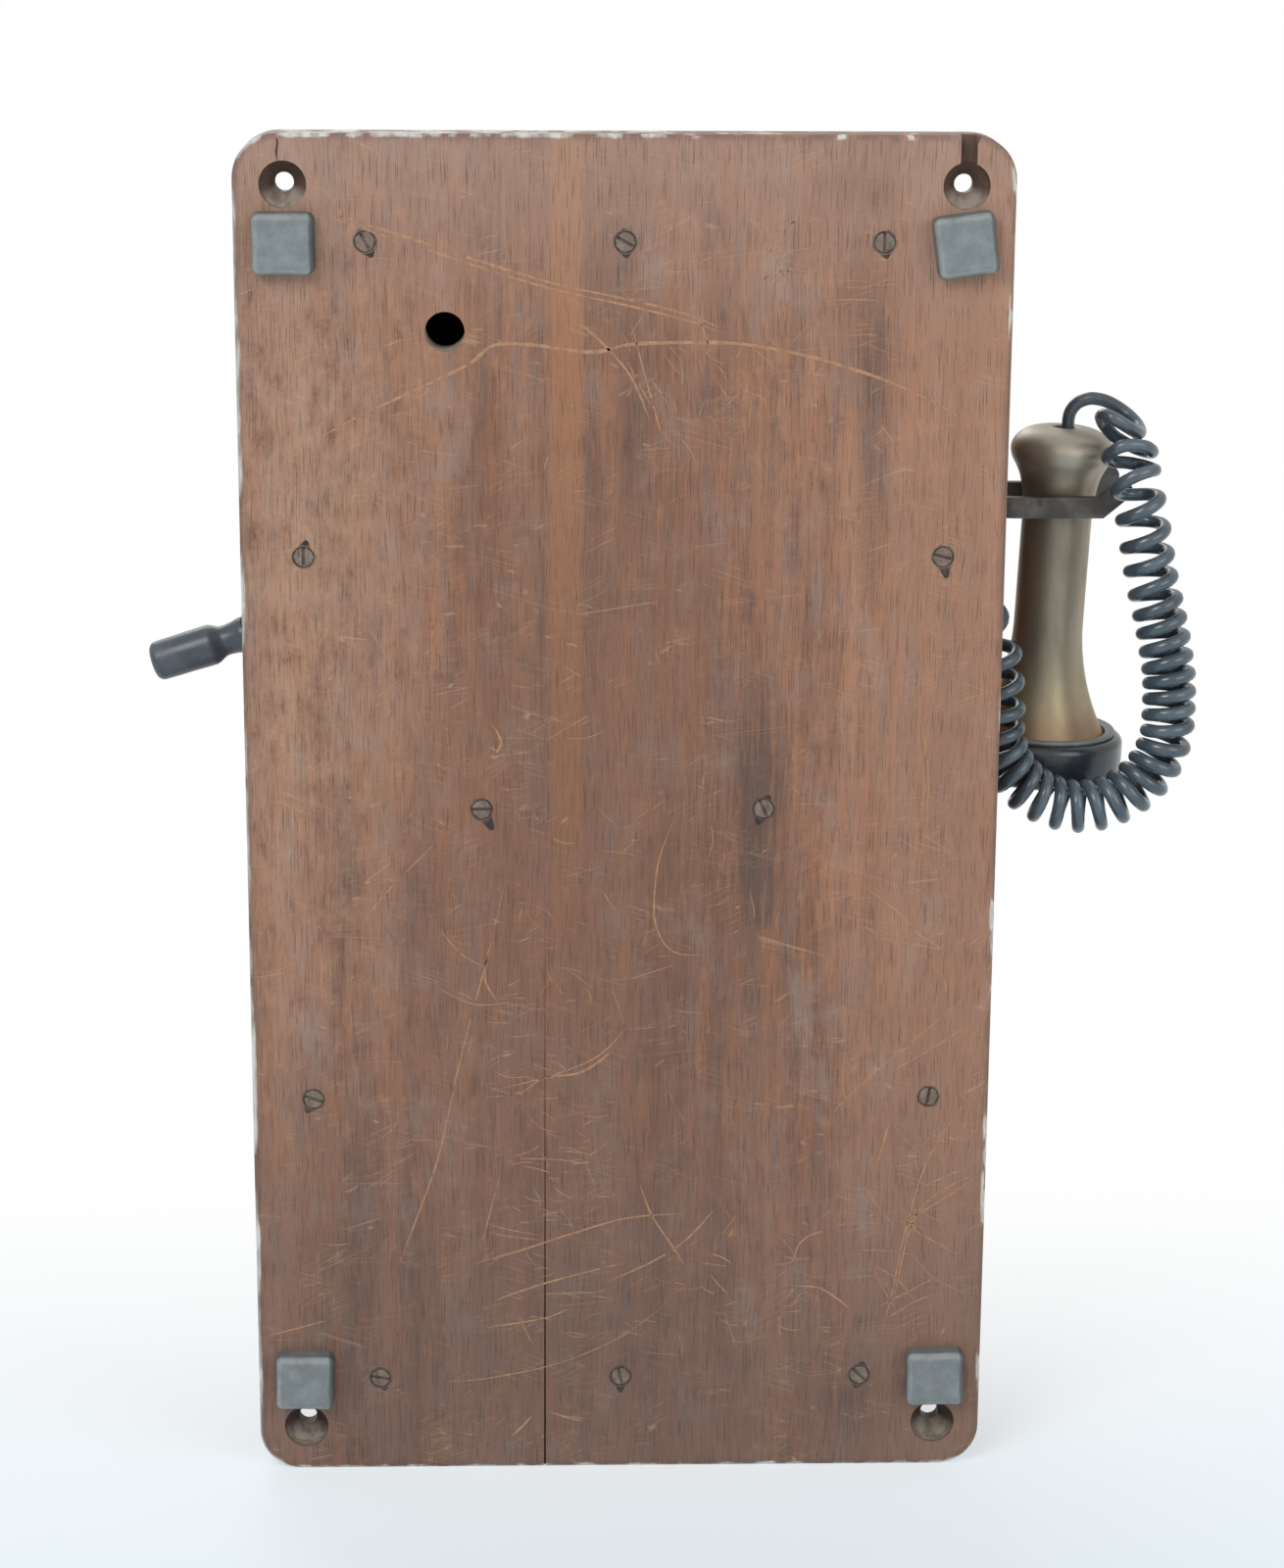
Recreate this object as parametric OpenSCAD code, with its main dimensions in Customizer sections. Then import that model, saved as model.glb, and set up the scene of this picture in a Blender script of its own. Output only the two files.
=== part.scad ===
// Wall telephone with a hand-cranked generator: backboard, case, door, ringer, transmitter,
// switch hook and bell receiver on a curly cord.
// Millimetres. +Z is up, the front faces -Y and the backboard's back is the plane y = 0.

/* [Backboard] */
// Width of the backboard
board_w = 280; // [276:1:320]
// Height of the backboard
board_h = 515; // [505:1:560]
// Thickness of the backboard
board_t = 16; // [14:0.5:20]
// Radius of the backboard's corners
board_r = 16; // [6:0.5:17]
// Width of the bevel round the backboard's back
edge_bevel = 1.2; // [0.5:0.1:2.5]
// Distance of the wall screw holes from the edges
hole_inset = 18; // [16:0.5:22]
// Diameter of the wall screw holes
hole_d = 7; // [4:0.5:8]
// Diameter of the recess behind each wall screw hole
recess_d = 17; // [12:0.5:18]
// Straight depth of that recess
recess_depth = 5.5; // [3:0.5:6]
// Depth of the cone between the recess and the hole
recess_cone = 5; // [2:0.5:6]
// Distance from the middle to the joint between the two planks
plank_joint_x = 29; // [20:1:40]
// Diameter of the cable hole
cable_hole_d = 14.4; // [8:0.2:18]
// Distance of the cable hole from the middle
cable_hole_x = 64.8; // [56:0.2:80]
// Height of the cable hole above the middle
cable_hole_z = 187.2; // [182:0.2:195]
// Width of the wire groove in the back
groove_w = 6; // [5:0.5:8]
// Depth of the wire groove
groove_depth = 5.5; // [5:0.5:7]

/* [Rubber pads] */
// Side of a rubber pad
pad_w = 22.5; // [16:0.5:26]
// Height of a rubber pad
pad_h = 8; // [4:0.5:12]
// Radius of a pad's edges
pad_r = 2.5; // [1:0.25:3.5]
// Distance of a pad's middle from the side edge
pad_in_x = 18; // [14:0.5:24]
// Distance of a pad's middle from the top or bottom edge
pad_in_z = 38.5; // [37:0.5:44]

/* [Case] */
// Outer width of the case
case_w = 247; // [240:1:256]
// Outer height of the case
case_h = 452; // [445:1:470]
// Depth of the case without its door
case_depth = 110; // [104:1:130]
// Thickness of the case's panels
panel_t = 13; // [11:0.5:15]
// Height of the shelf's middle above the floor of the bell and generator bay
shelf_z = 9.2; // [5:0.2:14]
// Thickness of the shelf
shelf_t = 12.7; // [10:0.1:15]
// Number of fingers in each corner joint
fingers = 9; // [5:2:13]
// Thickness of the door
door_t = 16; // [13:0.5:20]
// Width of the bevel round the door's front
door_bevel = 5; // [2:0.5:8]

/* [Wood screws] */
// Diameter of a screw head
screw_head_d = 8; // [6:0.2:9]
// Diameter of a screw shank
screw_d = 4.2; // [3:0.1:5]
// Depth of a screw in the case
screw_bite = 22; // [15:1:30]
// Distance of the outer screws from the middle, top and bottom
screw_row_x = 93; // [80:0.5:100]
// Height of the side screws above and below the middle
screw_side_z = 104.8; // [80:0.2:140]
// Distance of the shelf's screws from the middle
screw_shelf_x = 52.5; // [40:0.5:60]

/* [Switch hook] */
// Distance of the hook from the backboard
hook_from_board = 69; // [62:0.5:72]
// Height of the hook above the shelf
hook_rise = 95; // [88:0.5:98]
// Distance of the receiver's neck from the case
hook_reach = 47.6; // [43:0.2:50]
// Height of the hook's strip
hook_h = 8; // [6:0.5:9]
// Thickness of the hook's strip
hook_t = 4; // [3:0.25:5]
// Diameter of the hook's pivot pin
hook_pin_d = 4; // [3:0.25:5]

/* [Receiver] */
// Radius of the receiver's neck
neck_r = 13.5; // [12:0.1:14]
// Radius of the receiver's knob
knob_r = 19.8; // [18:0.1:22]
// Radius of the receiver's rim
rim_r = 27.5; // [26:0.1:28.5]
// Radius of the ear cap
cap_r = 32.7; // [31:0.1:33.5]
// Wall of the receiver's shell
shell_wall = 2.5; // [1.5:0.1:3.5]
// Lean of the hanging receiver in degrees
receiver_lean = 2.5; // [0:0.5:4]
// Diameter of the cord's hole in the receiver
cord_hole_d = 8.5; // [6:0.1:10]

/* [Cord] */
// Diameter of the cord
cord_d = 5; // [4:0.05:5]
// Outer diameter of the curls
curl_od = 20.9; // [18:0.1:21]

/* [Crank and generator] */
// Module of the gear teeth
gear_m = 1.2; // [1:0.05:1.25]
// Teeth of the drive gear
gear_teeth = 64; // [56:8:64]
// Teeth of the pinion
pinion_teeth = 16; // [16:1:18]
// Height of the armature's axis above the shelf
armature_rise = 46.5; // [44:0.5:50]
// Diameter of the crank shaft
shaft_d = 8; // [6:0.5:10]
// Distance from the crank's axis to its knob's axis
crank_throw = 49.5; // [45:0.1:56]
// Downward cant of the crank's knob in degrees
knob_cant = 17.4; // [0:0.2:20]
// Diameter of the crank's knob
knob_d = 16; // [13:0.2:18]
// Diameter of the generator's armature
armature_d = 38; // [34:0.5:40]
// Thickness of a magnet's leg
magnet_t = 9; // [6:0.5:10]
// Number of magnets
magnet_count = 5; // [3:1:5]

/* [Bells and ringer] */
// Radius of a gong
gong_r = 31; // [26:0.5:33]
// Height of a gong
gong_h = 18; // [14:0.5:22]
// Wall of a gong
gong_wall = 1.8; // [1.2:0.1:2.5]
// Gap between each gong and the clapper's ball
clapper_gap = 3; // [2.6:0.1:4]
// Diameter of the clapper's ball
clapper_ball_d = 12; // [9:0.5:14]
// Distance of the gongs' middle from the top of the case
gong_drop = 63; // [60:0.5:66]
// Length of the clapper from its pivot to its ball
clapper_len = 32; // [30:0.5:34]
// Diameter of a ringer coil
ringer_coil_d = 22; // [18:0.5:24]

/* [Transmitter] */
// Height of the transmitter above the middle
transmitter_z = 45; // [30:1:60]
// Length of the transmitter's arm
transmitter_arm = 52; // [46:1:80]
// Radius of the transmitter's cup
cup_r = 36; // [32:0.5:40]
// Depth of the transmitter's cup
cup_h = 30; // [26:0.5:36]
// Radius of the mouthpiece's mouth
mouth_r = 31; // [26:0.5:35]
// Length of the mouthpiece
mouth_len = 36; // [28:0.5:44]

/* [Door fittings] */
// Height of the hinges above and below the middle
hinge_z = 150; // [120:1:170]
// Length of a hinge
hinge_len = 50; // [36:1:60]
// Radius of a hinge's knuckles
knuckle_r = 3; // [2.5:0.1:3.5]
// Diameter of a hinge pin
hinge_pin_d = 3; // [2:0.1:3.4]
// Distance of the latch's axis below the shelf
latch_drop = 23; // [20:0.5:40]
// Width of the writing shelf
desk_w = 200; // [160:1:220]
// Depth of the writing shelf
desk_depth = 88; // [60:1:100]
// Height of the writing shelf's back below the middle
desk_drop = 70; // [60:1:80]

/* [Batteries] */
// Diameter of a dry cell
cell_d = 66; // [60:0.5:68]
// Height of a dry cell
cell_h = 160; // [140:1:165]

/* [Hidden] */
$fn = 64;
// Clearances: a running fit, a seated part, and parts that pass each other
run_fit = 0.05;
seat_gap = 0.1;
pass_gap = 0.4;
eps = 1;

// Main planes of the case
board_front_y = -board_t;
case_front_y = board_front_y - case_depth;
door_in_y = case_front_y - pass_gap;
door_front_y = door_in_y - door_t;
side_x = case_w / 2;
inner_x = side_x - panel_t;
case_top_z = case_h / 2;
inner_z = case_top_z - panel_t;
bay_h = 226;
bay_floor_z = case_top_z - bay_h;
shelf_mid_z = bay_floor_z + shelf_z;
shelf_top_z = shelf_mid_z + shelf_t / 2;
wall_hole_x = board_w / 2 - hole_inset;
wall_hole_z = board_h / 2 - hole_inset;

// Wood screws: place and turn of the slot
screw_row_z = case_top_z - panel_t / 2;
screw_side_x = side_x - panel_t / 2;
screw_places = [
    [screw_row_x, screw_row_z, 60], [0, screw_row_z, 30], [-screw_row_x, screw_row_z, 90],
    [screw_side_x, screw_side_z, 90], [-screw_side_x, screw_side_z, 15],
    [screw_shelf_x, shelf_mid_z, 0], [-screw_shelf_x, shelf_mid_z, 65],
    [screw_side_x, -screw_side_z, 20], [-screw_side_x, -screw_side_z, 100],
    [screw_row_x, -screw_row_z, 10], [0, -screw_row_z, 75], [-screw_row_x, -screw_row_z, 45]
];
screw_sink = 0.4;
screw_cone = (screw_head_d - screw_d) / 2;
screw_slot_w = 1.2;
screw_slot_depth = 1.1;

// Switch hook, pivoting inside the left side
hook_y = board_front_y - hook_from_board;
hook_z = shelf_top_z + hook_rise;
hook_pivot_x = -inner_x + 15.5;
neck_x = -side_x - hook_reach;
fork_clear = 1.3;
fork_r = neck_r + fork_clear;
fork_bend = 13;
fork_len = 23;
fork_tip_x = neck_x - fork_len;
fork_back = 18;
fork_x = neck_x + fork_back;
prong_tip_r = 4;
prong_tip_rise = 2.6;
prong_taper = 2;
hook_finger = 6;
hook_tail = 26;
hook_tail_x = hook_pivot_x + hook_tail;
hook_swing = 12;
slot_low_z = hook_z - hook_h / 2 - 1.5;
slot_high_z = hook_z + hook_h / 2 + 8;
slot_w = hook_t + 2;
plate_t = 2;
ear_gap = hook_t / 2 + 0.3;
ear_t = 2.5;
finger_low_z = hook_z - 14;

// Receiver, drawn about its own axis with z = 0 at the hook
knob_top = 28.6;
knob_rim = 23;
neck_low = -8;
flare_start = -48;
rim_low = -97;
rim_band = 2;
cap_low = -110;
cap_top = -92;
dish_r = 26;
dish_depth = 7.5;
ear_hole_r = 6.5;
cord_socket = 8;
diaphragm_t = 0.5;
diaphragm_r = 26;

// Cord bushing in the left side
bushing_y = -40;
bushing_z = 92;
bushing_flange_d = 16;
bushing_flange_t = 4;
bushing_d = 10;

// Route of the cord: an arch over the receiver, a hang, a round bend, and the way up to its bushing
cord_arch = [
    [-173.2, -85, 131.3], [-173.6, -85, 140.5], [-175.5, -85, 145], [-177.5, -84, 148.5],
    [-180.5, -82.5, 150.5], [-184.5, -80, 151.5], [-188.5, -77, 151], [-192.5, -73, 149]
];
cord_hang = [
    [-194, -69, 145.5], [-194, -65, 141], [-194, -61, 136.5], [-195, -58.5, 130.5],
    [-196.5, -53.8, 120], [-199, -52.4, 108], [-201, -52, 97], [-203, -51.5, 86.5],
    [-205, -50.5, 78], [-207, -49.5, 69.5], [-209, -48, 59], [-210.5, -46, 48]
];
bend_x = -177.5;
bend_z = 32;
bend_r = 33;
bend_y = [-44, -40];
cord_bend = [for (a = [0:15:180]) [
    bend_x - bend_r * cos(a), bend_y[0] + (bend_y[1] - bend_y[0]) * min(1, a / 90), bend_z - bend_r * sin(a)
]];
cord_rise = [
    [-144.5, -40, 42], [-143.5, -40, 51], [-141.5, -40, 61], [-139, -40, 71], [-136.5, -40, 80],
    [-134.5, -40, 87], [-131.5, -40, 91.5], [-128.5, -40, 92], [-125.5, -40, 92]
];
cord_route = concat(cord_arch, cord_hang, cord_bend, cord_rise);
// Curls: the lead before them, and runs of turns with their pitch
curl_lead = 23;
curl_runs = [[0.5, 44], [4.5, 11.2], [2.5, 9], [3, 7.3], [4, 6.35], [12.5, 7.35], [2.5, 8.5], [4, 11]];
fade_in = 0.6;
fade_out = 2;
curl_rings = 8;
cord_sides = 6;
curl_r = (curl_od - cord_d) / 2;

// Generator: gears, armature and magnets
gear_distance = gear_m * (gear_teeth + pinion_teeth) / 2;
gear_tip_r = gear_m * (gear_teeth / 2 + 1);
crank_y = case_front_y + gear_tip_r + 4.4;
armature_z = shelf_top_z + armature_rise;
crank_z = armature_z + gear_distance;
gear_w = 8;
gear_x = 12;
end_plate_t = 4;
inner_plate_x = gear_x + gear_w + 4;
outer_plate_x = inner_x - 14.5;
magnets_x0 = inner_plate_x + end_plate_t + 1;
magnets_x1 = outer_plate_x - 1;
magnet_space = 1;
magnet_pitch = (magnets_x1 - magnets_x0 + magnet_space) / magnet_count;
pole_gap_r = armature_d / 2 + 0.6;
pole_out = armature_d / 2 + 8;
magnet_arch_z = crank_z + 2;
gen_base_t = 4;
gen_base_top = shelf_top_z + gen_base_t;
armature_shaft_d = 6;

// Crank outside the right side
hub_d = 22;
arm_t = 5;
bush_flange_t = 2;
hub_x0 = side_x + bush_flange_t + pass_gap;
arm_x0 = hub_x0 + 8;
knob_x = arm_x0 + arm_t / 2;
knob_z = crank_z - crank_throw;
arm_end_d = 15;
knob_base = 9;
spindle_d = 5;
knob_len = 38;

// Ringer behind the door and the gongs in front of it
gong_z = case_top_z - gong_drop;
gong_x = gong_r + clapper_gap + clapper_ball_d / 2;
gong_stand = 8;
gong_rim_y = door_front_y - gong_stand;
gong_post_d = 9;
gong_screw_d = 5;
pivot_z = gong_z + clapper_len;
ringer_axis_depth = 20;
ringer_depth = 34;
ringer_y = door_in_y + ringer_axis_depth;
ringer_plate_t = 3;
ringer_back_y = door_in_y + ringer_depth;
armature_bar_t = 4;
ringer_air = 1.8;
pole_face_z = pivot_z - armature_bar_t / 2 - ringer_air;
ringer_yoke_t = 4;
yoke_top_z = gong_z - 6;
coil_x = ringer_coil_d / 2 + 6;
ringer_magnet_t = 6;
ringer_pin_d = 3;
clapper_rod_d = 2.5;
ball_y = gong_rim_y - 4;
clapper_slot = [14, 9];

// Transmitter on its arm
tilt_y = door_front_y - transmitter_arm;
fork_in_x = 9;
fork_ear_t = 4.5;
lug_r = 11;
tilt_pin_d = 6;
cup_back = 13;
cup_wall = 2.2;
face_t = 4;
throat_r = 14;
mouth_wall = 2.5;

// Hinges on the left, latch on the right
hinge_x = -side_x - knuckle_r - 0.3;
leaf_t = 2;
leaf_w = 22;
knuckle_h = hinge_len / 3;
latch_inset = 18.5;
latch_x = inner_x - latch_inset;
latch_z = shelf_mid_z - shelf_t / 2 - latch_drop;
latch_d = 6;
strike_y = case_front_y + 0.5;
strike_t = 3;
tongue_y = strike_y + strike_t + pass_gap;
tongue_len = 15;
tongue_w = 8;
tongue_t = 3;

// Inside fittings
cell_y = (board_front_y + case_front_y) / 2 + 5;
cell_gap = 5;
cell_step = cell_d + cell_gap;
cell_count = floor((2 * inner_x - cell_gap) / cell_step);
cell_top_depth = 3;
coil_cheek = 30;
coil_cheek_t = 4;
coil_len = 80;
coil_d = 22;
coil_in_x = 34;
coil_back_gap = 8;
can_size = [40, 30, 40];
can_in_x = 10;
can_in_y = 14;
can_lug = [2, 5, 6];
strip_w = 110;
strip_h = 20;
strip_t = 10;
strip_z = gong_z - 3;
post_d = 5;
post_len = 12;

// Helpers: a box by its corners, rods along X and Y, and outlines pushed towards the front
module block(low, high) {
    translate(low) cube(high - low);
}

module rod_x(d, x0, x1) {
    translate([x0, 0, 0]) rotate([0, 90, 0]) cylinder(d = d, h = x1 - x0);
}

module rod_y(d, y0, y1) {
    translate([0, y0, 0]) rotate([90, 0, 0]) cylinder(d = d, h = y0 - y1);
}

module cone_y(d0, d1, y0, y1) {
    translate([0, y0, 0]) rotate([90, 0, 0]) cylinder(d1 = d0, d2 = d1, h = y0 - y1);
}

// An outline in X and Z, pushed from y0 towards the front
module slab_y(y0, t) {
    translate([0, y0, 0]) rotate([90, 0, 0]) linear_extrude(t) children();
}

// An outline in Y and Z, pushed from x0 towards +X
module slab_x(x0, t) {
    translate([x0, 0, 0]) rotate([90, 0, 90]) linear_extrude(t) children();
}

// A turned profile with its axis along -Y
module turned_y() {
    rotate([90, 0, 0]) rotate_extrude() children();
}

module rounded_rect(w, h, r) {
    square([w - 2 * r, h], center = true);
    square([w, h - 2 * r], center = true);
    for (x = [-1, 1], z = [-1, 1]) {
        translate([x * (w / 2 - r), z * (h / 2 - r)]) circle(r);
    }
}

// Backboard
module wall_holes() {
    for (x = [-1, 1], z = [-1, 1]) {
        translate([x * wall_hole_x, 0, z * wall_hole_z]) {
            rod_y(hole_d, eps, -board_t - eps);
            rod_y(recess_d, eps, -recess_depth);
            cone_y(recess_d, hole_d, -recess_depth, -recess_depth - recess_cone);
        }
    }
}

module screw_holes() {
    head = screw_head_d + 2 * seat_gap;
    shank = screw_d + 2 * seat_gap;
    for (p = screw_places) {
        translate([p[0], 0, p[1]]) {
            rod_y(shank, eps, -board_t - screw_bite - seat_gap);
            rod_y(head, eps, -screw_sink);
            cone_y(head, shank, -screw_sink, -screw_sink - screw_cone);
        }
    }
}

// The groove runs from the top edge to one wall hole, and its mouth is chipped
module wire_groove() {
    top = board_h / 2;
    low = wall_hole_z;
    translate([-wall_hole_x - 0.5, 0, 0]) {
        block([-groove_w / 2, -groove_depth, low], [groove_w / 2, eps, top + eps]);
        slab_y(eps, eps + 3.5) polygon([
            [-5, top + eps], [-3, top - 3.5], [2, top - 2], [3.5, top + eps]
        ]);
    }
}

// The plate's back edge is bevelled: straight runs and a cone at each corner
module board_plate() {
    b = edge_bevel;
    x = board_w / 2;
    z = board_h / 2;
    run_x = x - board_r;
    run_z = z - board_r;
    slab_y(-b, board_t - b) rounded_rect(board_w, board_h, board_r);
    translate([0, 0, -run_z]) linear_extrude(2 * run_z) polygon([[-x, -b], [x, -b], [x - b, 0], [b - x, 0]]);
    slab_x(-run_x, 2 * run_x) polygon([[-b, -z], [-b, z], [0, z - b], [0, b - z]]);
    for (i = [-1, 1], k = [-1, 1]) {
        translate([i * run_x, 0, k * run_z]) cone_y(2 * (board_r - b), 2 * board_r, 0, -b);
    }
}

module board_blank() {
    difference() {
        board_plate();
        wall_holes();
        screw_holes();
        wire_groove();
        translate([cable_hole_x, 0, cable_hole_z]) rod_y(cable_hole_d, eps, -board_t - eps);
    }
}

module backboard_wide_plank() {
    color("sienna") intersection() {
        board_blank();
        block([-board_w, -2 * board_t, -board_h], [plank_joint_x, board_t, board_h]);
    }
}

// The joint has opened a little at the bottom
module backboard_narrow_plank() {
    open_w = 0.7;
    open_top = -11;
    color("sienna") difference() {
        intersection() {
            board_blank();
            block([plank_joint_x, -2 * board_t, -board_h], [board_w, board_t, board_h]);
        }
        slab_y(eps, board_t + 2 * eps) polygon([
            [plank_joint_x - eps, open_top], [plank_joint_x, open_top],
            [plank_joint_x + open_w, -board_h / 2 - eps], [plank_joint_x - eps, -board_h / 2 - eps]
        ]);
    }
}

module back_screws() {
    color("gray") for (p = screw_places) {
        translate([p[0], 0, p[1]]) difference() {
            union() {
                cone_y(screw_head_d, screw_d, -screw_sink, -screw_sink - screw_cone);
                rod_y(screw_d, -screw_sink - screw_cone / 2, -board_t - screw_bite);
            }
            rotate([0, -p[2], 0]) block(
                [-screw_head_d, -screw_sink - screw_slot_depth, -screw_slot_w / 2],
                [screw_head_d, eps, screw_slot_w / 2]
            );
        }
    }
}

// Hand-cut pads with softened edges; one sits askew
module rubber_pad() {
    intersection() {
        slab_y(pad_h, pad_h) rounded_rect(pad_w, pad_w, pad_r);
        slab_x(-pad_w / 2, pad_w) rounded_rect(2 * pad_h, pad_w, pad_r);
        translate([0, 0, -pad_w / 2]) linear_extrude(pad_w) rounded_rect(pad_w, 2 * pad_h, pad_r);
    }
}

module rubber_pads() {
    x = board_w / 2 - pad_in_x;
    z = board_h / 2 - pad_in_z;
    pad_places = [[x, z, 0], [-x, z, 8], [x, -z, -1], [-x, -z, 1]];
    color("dimgray") for (p = pad_places) {
        translate([p[0], 0, p[1]]) rotate([0, p[2], 0]) rubber_pad();
    }
}

// Case with combed corners
module comb(x0, x1, z0, z1, first) {
    finger = case_depth / fingers;
    for (i = [first:2:fingers - 1]) {
        over = i == fingers - 1 ? eps : 0;
        under = i == 0 ? eps : 0;
        block(
            [x0, board_front_y - (i + 1) * finger - over, z0],
            [x1, board_front_y - i * finger + under, z1]
        );
    }
}

module case_side() {
    difference() {
        block([inner_x, case_front_y, -case_top_z], [side_x, board_front_y, case_top_z]);
        comb(inner_x - eps, side_x + eps, inner_z, case_top_z + eps, 1);
        comb(inner_x - eps, side_x + eps, -case_top_z - eps, -inner_z, 1);
    }
}

module case_lid() {
    difference() {
        block([-side_x, case_front_y, inner_z], [side_x, board_front_y, case_top_z]);
        comb(inner_x, side_x + eps, inner_z - eps, case_top_z + eps, 0);
        comb(-side_x - eps, -inner_x, inner_z - eps, case_top_z + eps, 0);
    }
}

module hook_slot(x0, x1) {
    block([x0, hook_y - slot_w / 2, slot_low_z], [x1, hook_y + slot_w / 2, slot_high_z]);
}

module case_left_side() {
    color("saddlebrown") difference() {
        mirror([1, 0, 0]) case_side();
        screw_holes();
        hook_slot(-side_x - eps, -inner_x + eps);
        translate([0, bushing_y, bushing_z]) {
            rod_x(bushing_d + 2 * seat_gap, -side_x - eps, -inner_x + eps);
        }
    }
}

module case_right_side() {
    color("saddlebrown") difference() {
        case_side();
        screw_holes();
        translate([0, crank_y, crank_z]) {
            rod_x(shaft_d + 6 + 2 * seat_gap, inner_x - eps, side_x + eps);
        }
    }
}

module case_top() {
    color("saddlebrown") difference() {
        case_lid();
        screw_holes();
    }
}

module case_bottom() {
    color("saddlebrown") difference() {
        mirror([0, 0, 1]) case_lid();
        screw_holes();
    }
}

module generator_shelf() {
    shelf_setback = 2;
    wire_hole_d = 12;
    wire_hole_in = 14;
    color("saddlebrown") difference() {
        block(
            [-inner_x, case_front_y + shelf_setback, shelf_mid_z - shelf_t / 2],
            [inner_x, board_front_y, shelf_top_z]
        );
        screw_holes();
        translate([-inner_x + wire_hole_in, board_front_y - wire_hole_in, shelf_mid_z - shelf_t]) {
            cylinder(d = wire_hole_d, h = 2 * shelf_t);
        }
    }
}

// Switch hook and its fittings
module fork_plan() {
    difference() {
        circle(fork_r + hook_t);
        circle(fork_r);
        translate([-2 * fork_r, -2 * fork_r]) square([2 * fork_r, 4 * fork_r]);
    }
}

// A prong seen from the side: a strip whose round end turns up
module prong_side() {
    half = hook_h / 2;
    bend_x = neck_x - fork_bend;
    end = [fork_tip_x + 1, half + prong_tip_rise];
    edge = prong_tip_r * [cos(75), sin(75)];
    polygon([
        [fork_x, -half], [fork_x, half], [bend_x, half], end + edge, end - edge,
        [bend_x - prong_taper, -half]
    ]);
    translate(end) circle(prong_tip_r);
}

module switch_hook() {
    half = hook_h / 2;
    color("dimgray") difference() {
        translate([0, hook_y, hook_z]) union() {
            translate([fork_x, 0, -half]) linear_extrude(hook_h) fork_plan();
            for (y = [fork_r + hook_t, -fork_r]) slab_y(y, hook_t) prong_side();
            block([fork_x + fork_r + hook_t / 2, -hook_t / 2, -half], [hook_tail_x, hook_t / 2, half]);
            block(
                [hook_tail_x - hook_finger, -hook_t / 2, finger_low_z - hook_z],
                [hook_tail_x, hook_t / 2, half]
            );
        }
        translate([hook_pivot_x, hook_y, hook_z]) {
            rod_y(hook_pin_d + 2 * run_fit, hook_t, -hook_t);
        }
    }
}

module hook_slot_plate() {
    margin = 8;
    low = slot_low_z - margin;
    high = slot_high_z + margin;
    color("dimgray") difference() {
        translate([0, hook_y, (low + high) / 2]) {
            slab_x(-side_x - plate_t, plate_t) rounded_rect(slot_w + 2 * margin, high - low, 4);
        }
        hook_slot(-side_x - plate_t - eps, -side_x + eps);
    }
}

module hook_bracket() {
    ear_x = hook_pivot_x + 8;
    ear_half = hook_h / 2 + 4;
    half_w = 14;
    half_h = 18;
    color("goldenrod") difference() {
        union() {
            block(
                [-inner_x, hook_y - half_w, hook_z - half_h],
                [-inner_x + plate_t, hook_y + half_w, hook_z + half_h]
            );
            for (y = [hook_y + ear_gap, hook_y - ear_gap - ear_t]) {
                block([-inner_x, y, hook_z - ear_half], [ear_x, y + ear_t, hook_z + ear_half]);
            }
        }
        hook_slot(-inner_x - eps, -inner_x + plate_t + eps);
        translate([hook_pivot_x, hook_y, hook_z]) rod_y(hook_pin_d + 2 * run_fit, half_w, -half_w);
    }
}

module hook_pivot_pin() {
    reach = ear_gap + ear_t + 1.5;
    color("silver") translate([hook_pivot_x, hook_y, hook_z]) rod_y(hook_pin_d, reach, -reach);
}

// A leaf on top of the bracket's ears that pushes the hook's tail down
module hook_return_spring() {
    ear_top = hook_z + hook_h / 2 + 4;
    anchor_x = hook_pivot_x + 1;
    low_z = hook_z + hook_h / 2 + pass_gap;
    leaf = 0.9;
    width = 2 * (ear_gap + ear_t);
    color("gold") {
        slab_y(hook_y + width / 2, width) polygon([
            [anchor_x, ear_top], [anchor_x + 7, ear_top], [anchor_x + 7, ear_top + 2],
            [anchor_x, ear_top + 2]
        ]);
        slab_y(hook_y + hook_t / 2, hook_t) polygon([
            [anchor_x + 6, ear_top], [hook_tail_x - 2, low_z], [hook_tail_x - 2, low_z + leaf],
            [anchor_x + 6, ear_top + 2]
        ]);
    }
}

// Three contact leaves in an insulating stack
module switch_springs() {
    top = finger_low_z - 7;
    step = 5;
    leaf = 0.7;
    color("gold") {
        block([-inner_x, hook_y - 8, top - 3 * step], [-inner_x + 14, hook_y + 8, top + 1]);
        for (i = [0:2]) {
            z = top - i * step - leaf;
            block([-inner_x + 13, hook_y - 3, z], [hook_tail_x + 4, hook_y + 3, z + leaf]);
        }
    }
}

// Bell receiver: its profile from the rim up to the cord's hole
function sag(r, rise) = r - sqrt(r * r - rise * rise);
flare_rise = flare_start - rim_low - rim_band;
flare_out = rim_r - 0.8 - neck_r;
flare_arc = (flare_rise * flare_rise + flare_out * flare_out) / (2 * flare_out);
knob_rise = knob_rim - 2 - neck_low;
knob_out = knob_r - 0.5 - neck_r;
knob_arc = (knob_rise * knob_rise + knob_out * knob_out) / (2 * knob_out);
curve_steps = 8;
flare_line = [for (i = [curve_steps:-1:0]) let (rise = flare_rise * i / curve_steps)
    [neck_r + sag(flare_arc, rise), flare_start - rise]];
knob_line = [for (i = [0:curve_steps]) let (rise = knob_rise * i / curve_steps)
    [neck_r + sag(knob_arc, rise), neck_low + rise]];
dome_r = 6.8;
dome_line = [for (a = [0:15:90]) [
    knob_r - dome_r + dome_r * cos(a), knob_rim + (knob_top - knob_rim) * sin(a)
]];

module place_receiver() {
    translate([neck_x, hook_y, hook_z]) rotate([0, -receiver_lean, 0]) children();
}

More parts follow.
